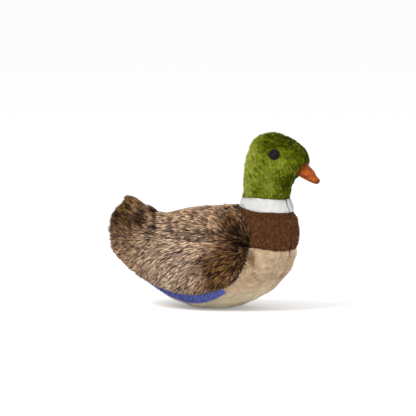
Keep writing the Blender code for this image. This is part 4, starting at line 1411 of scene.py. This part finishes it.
def body_coat_shape(place):
    """How much of its length, of its lift and of its strands the body's pile keeps: less under a
    wing, and shorter along the seam with the chest above the wing. It is longer on the tail, but
    for its upper corner. Also how far the roots shift, which is onto the seam with the chest, and
    what turns the flow. Just above a wing the pile rises and falls over the wing's edge."""
    top, foot, _ = wing_lines(41)
    outline = np.vstack([top + (0, -6 * MM), foot[::-1] + (0, 4 * MM)])
    under = within(outline, place[:, 0], place[:, 2])
    lines, _ = seams()
    onto, gap = near_line(lines[2:3], place[:, [0, 2]])
    shift = np.zeros((len(place), 3))
    shift[:, [0, 2]] = unit(onto - place[:, [0, 2]]) * (3 * MM * bell(gap, 3 * MM))[:, None]
    above = np.clip((place[:, 2] - 70 * MM) / (12 * MM), 0, 1)
    length = 1 - 0.5 * bell(gap, 8 * MM) * above
    behind = np.clip((-85 * MM - place[:, 0]) / (11 * MM), 0, 1)
    length += behind * np.interp(place[:, 2], (84 * MM, 97 * MM), (0.14, -0.6))
    length += 0.16 * behind * waves(place, 8 * MM, 77)[:, 0]
    lift = 1 - 0.4 * bell(gap, 8 * MM) * above
    under_wing, on_back, on_tail = COAT_KEPT
    kept = np.where(under, under_wing, np.where(place[:, 0] < TAIL_START, on_tail, on_back))
    height = np.interp(place[:, 0], top[::-1, 0], top[::-1, 1])
    spill = np.zeros((len(place), 3))
    over = bell(place[:, 2] - height - 3 * MM, 4.5 * MM) * (place[:, 0] > top[-1, 0])
    spill[:, 2] = -0.7 * over
    lift *= 1 + 2 * over
    return np.where(under, 0.55, length), np.where(under, 0.3, lift), kept, shift, spill


class PLUSHDUCK_OT_coat(bpy.types.Operator):
    """Sews the back and the tail, and raises their long mottled pile"""

    bl_idname = "plush_duck.coat"
    bl_label = "Back and tail"

    def execute(self, context):
        sizes, colours = settings()
        dyes = coat_dyes(colours)
        # The cloth under the coat is dark brown: painted shade deep in the coat.
        shaded_ground = colours.coat_ground_in_shade
        cloth = cloth_finish("coat_cloth", toned(shaded_ground, 0.5), shaded_ground, sheen=0.0)
        strands = dye_and_shade_finish("coat_strands", 0.7)
        for number, name in enumerate(("back", "tail")):
            for side in SIDES:
                part = panel_part(name, side, sizes.pressure)
                points, faces = thickened(*part, CLOTH)
                piece = add(f"{name}_{side}_cloth", mesh_of(name, points, faces), cloth)
                placed(piece, "body", "long_pile_fur", f"{name}_{side}")
                seed = 70 + 10 * number + (side == "left")
                pile = mesh_of(name + "_pile", *coat_pile(part, sizes, dyes, seed, body_coat_shape))
                placed(add(f"{name}_{side}_pile", pile, strands), "body", "long_pile_fur")
        return {"FINISHED"}


class PLUSHDUCK_OT_wings(bpy.types.Operator):
    """Makes each wing: its lining, its padded face with long pile and its blue band"""

    bl_idname = "plush_duck.wings"
    bl_label = "Wings"

    def execute(self, context):
        sizes, colours = settings()
        dyes = coat_dyes(colours)
        # The cloth under the wing's coat is dark brown: painted shade deep in the coat.
        shaded_ground, blue = colours.coat_ground_in_shade, colours.band
        lining_cloth = cloth_finish("lining_cloth", toned(colours.lining, 0.8), colours.lining)
        face_cloth = cloth_finish("wing_cloth", toned(shaded_ground, 0.5), shaded_ground, sheen=0.0)
        band_cloth = cloth_finish("band_cloth", toned(blue, 0.5), toned(blue, 0.9), sheen=0.0)
        coat = dye_and_shade_finish("wing_strands", 0.7)
        velvet = dye_and_shade_finish("band_strands", 0.7)
        columns = 73
        top, foot, fur = wing_lines(columns)
        base = WING_GAP + WING_LINING + 0.1 * MM

        lining = draped(top, foot, 0, WING_FOOT_LIMIT, 37)
        face = draped(top, foot, 0, np.minimum(fur, WING_FOOT_LIMIT), 33)
        ends = slice(26, -5)
        band = draped(top[ends], foot[ends], fur[ends] + 0.004, WING_FOOT_LIMIT + 0.01, 11)
        layers = {
            "lining": (lining, WING_GAP, WING_LINING),
            "face": (face, base, swelling(*face.shape[:2], *WING_FACE_THICKNESS)),
            "band": (band, base, swelling(*band.shape[:2], *WING_BAND_THICKNESS)),
        }
        for side, sign in SIDES.items():
            wing = side + "_wing"
            made = {}
            for name, (grid, low, thick) in layers.items():
                bottom = body_side(grid[..., 0], grid[..., 1], low)
                upper = body_side(grid[..., 0], grid[..., 1], low + thick)
                points, faces, quads = sheet_arrays(bottom, upper)
                faces = outward(points, faces)
                points, faces = mirrored(points, faces, sign)
                outer = points[grid.shape[0] * grid.shape[1] :]
                if (vertex_normals(outer, quads)[:, 1] * sign).mean() < 0:
                    quads = quads[:, ::-1]
                from_seam = np.full(len(outer), FAR_FROM_SEAM)
                part = (outer, vertex_normals(outer, quads), from_seam, quads)
                made[name] = (points, faces, part)
            points, faces, (outer, _, _, quads) = made["lining"]
            mesh = mesh_of("wing_lining", points, faces)
            piece = add(f"wing_lining_{side}_cloth", mesh, lining_cloth)
            placed(piece, wing, "tan_lining", f"wing_lining_{side}")
            points, faces, part = made["face"]
            piece = add(f"wing_face_{side}_cloth", mesh_of("wing_face", points, faces), face_cloth)
            placed(piece, wing, "long_pile_fur", f"wing_fur_{side}", f"wing_batting_{side}")
            seed = 110 + (side == "left")
            foot_edge = part[0].reshape(*face.shape[:2], 3)[-1]

            def trimmed(place, foot_edge=foot_edge):
                gap, which = nearest(place, foot_edge)
                length = np.clip(0.3 + gap / (18 * MM), 0, 1)
                lift = np.clip(0.5 + gap / (20 * MM), 0, 1)
                spill = unit(foot_edge[which] - place) * (0.9 * bell(gap, 4 * MM))[:, None]
                return length, lift, 1.0, np.zeros_like(place), spill

            pile = mesh_of("wing_pile", *coat_pile(part, sizes, dyes, seed, trimmed))
            placed(add(f"wing_face_{side}_pile", pile, coat), wing, "long_pile_fur")
            points, faces, part = made["band"]
            piece = add(f"wing_band_{side}_cloth", mesh_of("wing_band", points, faces), band_cloth)
            placed(piece, wing, "blue_velour", f"wing_band_{side}")
            tones = (toned(blue, 0.5), blue, toned(blue, 1.8))
            pile = velvet_pile(
                part, sizes.velvet_length, sizes.velvet_density * 1e6, sizes.velvet_width, tones,
                9 * MM, 130 + (side == "left"),
            )
            pile = add(f"wing_band_{side}_pile", mesh_of("band_pile", *pile), velvet)
            placed(pile, wing, "blue_velour")
        return {"FINISHED"}


def beak_half(upper):
    """The left-to-right surface of the beak's upper or lower half, as rings of outside points and
    the flat side that closes each. The seam lies at one height, and rises with the tip."""
    rings = curve_through(BEAK_RING_SHARES, 40)
    forward, up = BEAK_SEAT_SHARES
    root = np.array([NECK_X + forward * HEAD_LENGTH, 0, NECK_FOOT + up * HEAD_RISE])
    along = np.array([math.cos(BEAK_TILT), 0, -math.sin(BEAK_TILT)])
    across = np.array([math.sin(BEAK_TILT), 0, math.cos(BEAK_TILT)])
    seam = np.clip((2 * BEAK_SEAM_SHARE - rings[:, 1]) / rings[:, 2], -0.7, -0.1)
    edge = np.arccos(seam)[:, None]
    share = np.linspace(0, 1, 33)
    turn = edge * (2 * share - 1) if upper else edge + (2 * math.pi - 2 * edge) * share
    tuck = 1 - 0.07 * np.exp(-np.minimum(share, 1 - share) / 0.05)
    up, side = np.cos(turn) * tuck, np.sin(turn) * tuck
    height = (rings[:, 1:2] + rings[:, 2:3] * up) * BEAK_HEIGHT / 2
    outer = root + rings[:, :1, None] * BEAK_LENGTH * along + height[..., None] * across
    outer[..., 1] += rings[:, 3:] * side * BEAK_WIDTH / 2
    back = np.linspace(0, 1, 13)[1:-1]
    flat = outer[:, -1:] + (outer[:, :1] - outer[:, -1:]) * back[:, None]
    around_share = np.concatenate([share, np.zeros(len(back))])
    return np.concatenate([outer, flat], 1), rings[:, 0], around_share


class PLUSHDUCK_OT_beak(bpy.types.Operator):
    """Makes the beak of suede cloth, in an upper and a lower half that meet in a rolled seam"""

    bl_idname = "plush_duck.beak"
    bl_label = "Beak"

    def execute(self, context):
        sizes, colours = settings()
        suede = dye_and_shade_finish("suede", 0.9, 0.05, grain=900.0)
        skin = sewn_skin(sizes.pressure)[0]
        dark = np.array(toned(colours.beak, 0.28))
        for upper, name, nodes in (
            (True, "beak_upper", ("beak_upper", "beak_filling")),
            (False, "beak_lower", ("beak_lower",)),
        ):
            rings, station, around_share = beak_half(upper)
            count, sides = rings.shape[:2]
            grid = rings.reshape(-1, 3)
            distance, _ = nearest(grid, skin)
            lumps = 0.25 * MM * waves(grid, 6 * MM, 41)
            index, faces = ring_grid(count, sides)
            normal = vertex_normals(grid, faces)
            if (normal * (grid - grid.mean(0))).sum() < 0:
                normal, faces = -normal, faces[:, ::-1]
            grid = grid + normal * lumps
            poles = np.array([rings[0].mean(0), rings[-1].mean(0)])
            ends = []
            for pole, ring in ((0, index[0]), (1, index[-1])):
                beside = np.roll(ring, -1)
                ends.append(np.stack([ring, beside, np.full(sides, count * sides + pole)], -1))
            points = np.vstack([grid, poles])
            triangles = halved(faces)
            for pole, end in enumerate(ends):
                a, b, c = (points[end[:, k]] for k in range(3))
                facing = np.cross(b - a, c - a).sum(0) @ (poles[pole] - points.mean(0))
                triangles = np.vstack([triangles, end if facing > 0 else end[:, ::-1]])
            # Darker near the head: partly a darker suede at the beak's root, partly painted shade
            # where it meets the head.
            rim = bell(np.concatenate([distance, [0, 1]]), 4.8 * MM)
            station = np.concatenate([np.repeat(station, sides), [0, 1]])
            tone = waves(points, 5 * MM, 43)[:, 0]
            dye_and_shade = np.array(colours.beak) * (1 + 0.3 * tone)[:, None]
            fold = np.tile(bell(np.minimum(around_share, 1 - around_share), 0.035), count)
            fold = np.concatenate([fold, [0, 0]]) * (station < 0.98)
            dark_share = 0.95 * rim + 0.7 * bell(station - 0.97, 0.06) + 0.8 * fold
            dye_and_shade = mixed(dye_and_shade, dark, np.clip(dark_share, 0, 1))
            piece = add(name + "_cloth", mesh_of(name, points, triangles, np.clip(dye_and_shade, 0, 1)), suede)
            placed(piece, "body", "orange_suede", *nodes)
        return {"FINISHED"}


class PLUSHDUCK_OT_eyes(bpy.types.Operator):
    """Stitches each eye: a round patch of thread laid side by side, over a base of cloth"""

    bl_idname = "plush_duck.eyes"
    bl_label = "Eyes"

    def execute(self, context):
        _, colours = settings()
        thread = dye_and_shade_finish("eye_thread", 0.6)
        rng = np.random.default_rng(61)
        tones = np.array(colours.thread) * rng.choice([0.3, 0.6, 2.5, 5.0], (THREADS, 1))
        eye = eye_place()
        slant = math.radians(52)
        along = np.array([math.cos(slant), math.sin(slant)])
        square = np.array([-along[1], along[0]])
        offset = np.linspace(-1, 1, THREADS) * 0.965
        half = np.sqrt(1 - offset**2)
        share = np.linspace(-1, 1, 13)
        flat = (
            offset[:, None, None] * square + half[:, None, None] * share[:, None] * along
        ) * EYE_RADIUS
        reach = np.linalg.norm(flat, axis=-1) / EYE_RADIUS
        rise = -EYE_EDGE_DEPTH + 1.15 * MM * np.sqrt(np.clip(1 - reach**4, 0, 1))
        rise += 0.12 * MM * np.sin(np.arange(THREADS) * 2.4)[:, None]
        path = head_side(eye[0] + flat[..., 0], eye[1] + flat[..., 1], rise)
        disc_reach = np.linspace(0.02, 1, 7)[:, None]
        turn = around(40)
        disc_x = eye[0] + EYE_RADIUS * disc_reach * np.cos(turn)
        disc_z = eye[1] + EYE_RADIUS * disc_reach * np.sin(turn)
        crown = 0.85 * MM * np.sqrt(np.clip(1 - disc_reach**4, 0, 1)) + 0 * disc_x
        top = head_side(disc_x, disc_z, -EYE_EDGE_DEPTH + crown)
        foot = head_side(disc_x, disc_z, -EYE_BASE_DEPTH + 0 * disc_x)
        for side, sign in SIDES.items():
            radius = np.full(path.shape[:2], THREAD / 2)
            across = np.zeros((THREADS, 3))
            across[:, [0, 2]] = square
            points, faces = swept(path, across, radius, 6, False)
            rings = np.concatenate([top, foot[::-1]])
            index, wall = ring_grid(*rings.shape[:2])
            fan = np.arange(1, rings.shape[1] - 1)
            caps = [
                np.stack([0 * fan + ring[0], ring[fan], ring[fan + 1]], -1)
                for ring in (index[0, ::-1], index[-1])
            ]
            base = np.vstack([halved(wall), *caps])
            base_points = rings.reshape(-1, 3)
            base = outward(base_points - base_points.mean(0), base)
            faces = np.vstack([faces, base + len(points)])
            dye_and_shade = np.vstack([np.repeat(tones, len(points) // THREADS, 0), 0 * base_points])
            points = np.vstack([points, base_points])
            points, faces = mirrored(points, faces, sign)
            piece = add(f"eye_{side}_stitches", mesh_of("eye", points, faces, dye_and_shade), thread)
            placed(piece, "body", "black_thread", f"eye_{side}")
        return {"FINISHED"}


class PLUSHDUCK_OT_filling(bpy.types.Operator):
    """Fills the body and the head with lumpy wadding, with a pocket for the squeaker"""

    bl_idname = "plush_duck.filling"
    bl_label = "Filling"

    def execute(self, context):
        _, colours = settings()
        pale = colours.filling
        wadding = cloth_finish("wadding", toned(pale, 0.85), pale, 160.0, 1.0, 0.2)
        low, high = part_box("squeaker_bellows")
        cap_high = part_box("squeaker_reed")[1]
        radius = (high.x - low.x) / 2 + 1.5 * MM
        middle = ((high.x + low.x) / 2, 0.0)
        turn = around(40)
        heights = np.array([low.z, cap_high.z + 1 * MM])
        pocket = np.empty((2, 40, 3))
        pocket[..., 0] = middle[0] + radius * np.cos(turn)
        pocket[..., 1] = radius * np.sin(turn)
        pocket[..., 2] = heights[:, None]
        body = remeshed("body", [loft("fill_body", body_rings(48, 40))], 3 * MM)
        head = remeshed("head", [loft("fill_head", head_rings(34, 40))], 3 * MM)
        cut_height = NECK_FOOT + 9 * MM
        for name, (points, faces), nodes in (
            ("body_wadding", body, ("body_filling_lower", "body_filling_upper")),
            ("head_wadding", head, ("head_filling",)),
        ):
            normal = vertex_normals(points, faces)
            depth = WADDING_DEPTH + front_groove(points)
            depth += 0.6 * MM * waves(points, 16 * MM, 51)[:, 0]
            depth += 0.4 * MM * waves(points, 7 * MM, 52)[:, 0]
            points = points - normal * depth[:, None]
            form = add(name + "_form", mesh_of(name, points, faces))
            if name == "body_wadding":
                cutter = loft("pocket", pocket)
            else:
                block = np.array([(-0.1, -0.1), (0.2, -0.1), (0.2, 0.1), (-0.1, 0.1)])
                cutter = np.empty((2, 4, 3))
                cutter[..., :2] = block
                cutter[..., 2] = np.array([0.0, cut_height])[:, None]
                cutter = loft("level", cutter)
            points, faces = remeshed(name, [form], 2.5 * MM, cutter)
            piece = add(name, mesh_of(name, points, faces), wadding)
            placed(piece, "body", "white_filling", *nodes)
        return {"FINISHED"}


def bellows_rings(low, high, sides):
    """Rings of the bellows from its floor up the inside and down the outside to its foot. The
    wall's distance from the axis falls by the fold's depth times half of one plus the cosine of
    the height, a whole turn for each fold, so the folds are round."""
    share = np.linspace(0, 1, 12 * BELLOWS_FOLDS + 1)
    fold = BELLOWS_FOLD * (0.5 + 0.5 * np.cos(2 * math.pi * BELLOWS_FOLDS * share))
    wall, height = (high.x - low.x) / 2 - fold, share * (high.z - low.z)
    radius = np.concatenate([wall - BELLOWS_WALL, wall[::-1]])[:, None]
    height = np.concatenate([np.maximum(height, BELLOWS_WALL), height[::-1]])[:, None]
    turn = around(sides)
    x = (high.x + low.x) / 2 + radius * np.cos(turn)
    return np.stack([x, radius * np.sin(turn), low.z + height + 0 * turn], -1)


class PLUSHDUCK_OT_squeaker(bpy.types.Operator):
    """Moulds the squeaker's bellows, and gives it, the cap and the reed their vinyl and plastic"""

    bl_idname = "plush_duck.squeaker"
    bl_label = "Squeaker"

    def execute(self, context):
        vinyl = cloth_finish("vinyl", linear("#d6d2c4"), linear("#e6e2d6"), 60.0, 0.4, 0.0)
        plastic = cloth_finish("plastic", linear("#dcd8cc"), linear("#efece2"), 40.0, 0.3, 0.0)
        low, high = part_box("squeaker_bellows")
        bellows = loft("squeaker_bellows_folds", bellows_rings(low, high, 48))
        bellows.data.materials.append(vinyl)
        bellows.data.shade_smooth()
        placed(bellows, "body", "squeaker_vinyl", "squeaker_bellows")
        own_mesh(bellows)
        for name in ("squeaker_cap", "squeaker_reed"):
            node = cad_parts[name]
            node.data.materials.clear()
            node.data.materials.append(plastic)
        return {"FINISHED"}


def lamp(name, place, target, size, power):
    """A square area lamp that faces the target."""
    light = bpy.data.lights.new(name, "AREA")
    light.shape, light.size, light.energy = "SQUARE", size, power
    made = bpy.data.objects.new(name, light)
    made.location = place
    made.rotation_euler = (Vector(place) - Vector(target)).to_track_quat("Z", "Y").to_euler()
    bpy.context.scene.collection.objects.link(made)
    return made


class PLUSHDUCK_OT_stage(bpy.types.Operator):
    """Sets the pale floor, the soft lamps, the world and the camera"""

    bl_idname = "plush_duck.stage"
    bl_label = "Stage"

    def execute(self, context):
        scene = context.scene
        azimuth, elevation = math.radians(22), math.radians(5)
        forward = Vector((
            -math.sin(azimuth) * math.cos(elevation),
            math.cos(azimuth) * math.cos(elevation),
            -math.sin(elevation),
        ))
        right = Vector((math.cos(azimuth), math.sin(azimuth), 0))
        up = right.cross(forward)
        # The photograph is 416 pixels square, at 1 mm to a pixel, and the origin is at this one.
        frame_size, origin_pixel = 416, (213.0, 307.5)
        half = frame_size / 2
        target = right * (half - origin_pixel[0]) * MM + up * (origin_pixel[1] - half) * MM
        distance = 6.0
        view = bpy.data.cameras.new("camera")
        view.lens = view.sensor_width * distance / (frame_size * MM)
        camera = bpy.data.objects.new("camera", view)
        camera.location = target - forward * distance
        camera.rotation_euler = (-forward).to_track_quat("Z", "Y").to_euler()
        scene.collection.objects.link(camera)
        scene.camera = camera

        reach = 30.0
        corners = reach * np.array([(-1, -1, 0), (1, -1, 0), (1, 1, 0), (-1, 1, 0)])
        paper, tree, shader = nodes_of("paper", 0.9)
        shader.inputs["Base Color"].default_value = (0.93, 0.93, 0.93, 1)
        shader.inputs["Specular IOR Level"].default_value = 0.0
        path = tree.nodes.new("ShaderNodeLightPath")
        glow = tree.nodes.new("ShaderNodeMath")
        glow.operation = "MULTIPLY"
        glow.inputs[1].default_value = 0.22
        tree.links.new(path.outputs["Is Camera Ray"], glow.inputs[0])
        shader.inputs["Emission Color"].default_value = (1, 1, 1, 1)
        tree.links.new(glow.outputs["Value"], shader.inputs["Emission Strength"])
        floor = add("floor", mesh_of("floor", corners, np.array([[0, 1, 2, 3]])), paper)

        world = bpy.data.worlds.new("studio")
        world.use_nodes = True
        tree = world.node_tree
        background = tree.nodes["Background"]
        background.inputs["Color"].default_value = (1, 1, 1, 1)
        path = tree.nodes.new("ShaderNodeLightPath")
        seen = tree.nodes.new("ShaderNodeMath")
        seen.operation = "MULTIPLY_ADD"
        light_strength = 0.8
        seen.inputs[1].default_value = 1.0 - light_strength
        seen.inputs[2].default_value = light_strength
        tree.links.new(path.outputs["Is Camera Ray"], seen.inputs[0])
        tree.links.new(seen.outputs["Value"], background.inputs["Strength"])
        scene.world = world
        key = target - right * 0.9 + up * 1.0 - forward * 0.8
        lamp("key", key, target, 0.7, 18.0)
        fill = target + right * 0.5 - forward * 1.1 - up * 0.07
        lamp("fill", fill, target, 0.3, 7.6)
        scene.view_settings.view_transform = "Standard"
        return {"FINISHED"}


OPERATORS = (
    PLUSHDUCK_OT_velvet,
    PLUSHDUCK_OT_coat,
    PLUSHDUCK_OT_wings,
    PLUSHDUCK_OT_beak,
    PLUSHDUCK_OT_eyes,
    PLUSHDUCK_OT_filling,
    PLUSHDUCK_OT_squeaker,
    PLUSHDUCK_OT_stage,
)


class PLUSHDUCK_PT_panel(bpy.types.Panel):
    """Lists the duck's sizes, colours and pieces"""

    bl_idname = "PLUSHDUCK_PT_panel"
    bl_label = "Plush Duck"
    bl_space_type = "VIEW_3D"
    bl_region_type = "UI"
    bl_category = "Plush Duck"

    def draw(self, context):
        for group in settings():
            box = self.layout.box()
            for name in group.__annotations__:
                box.prop(group, name)
        for operator in OPERATORS:
            self.layout.operator(operator.bl_idname)


CLASSES = (PlushDuckSizes, PlushDuckColours, *OPERATORS, PLUSHDUCK_PT_panel)


def register():
    for made in CLASSES:
        bpy.utils.register_class(made)
    bpy.types.Scene.plush_duck_sizes = bpy.props.PointerProperty(type=PlushDuckSizes)
    bpy.types.Scene.plush_duck_colours = bpy.props.PointerProperty(type=PlushDuckColours)


def unregister():
    del bpy.types.Scene.plush_duck_colours
    del bpy.types.Scene.plush_duck_sizes
    for made in reversed(CLASSES):
        bpy.utils.unregister_class(made)


def main():
    register()
    for operator in OPERATORS:
        group, name = operator.bl_idname.split(".")
        getattr(getattr(bpy.ops, group), name)()


if __name__ == "__main__":
    main()
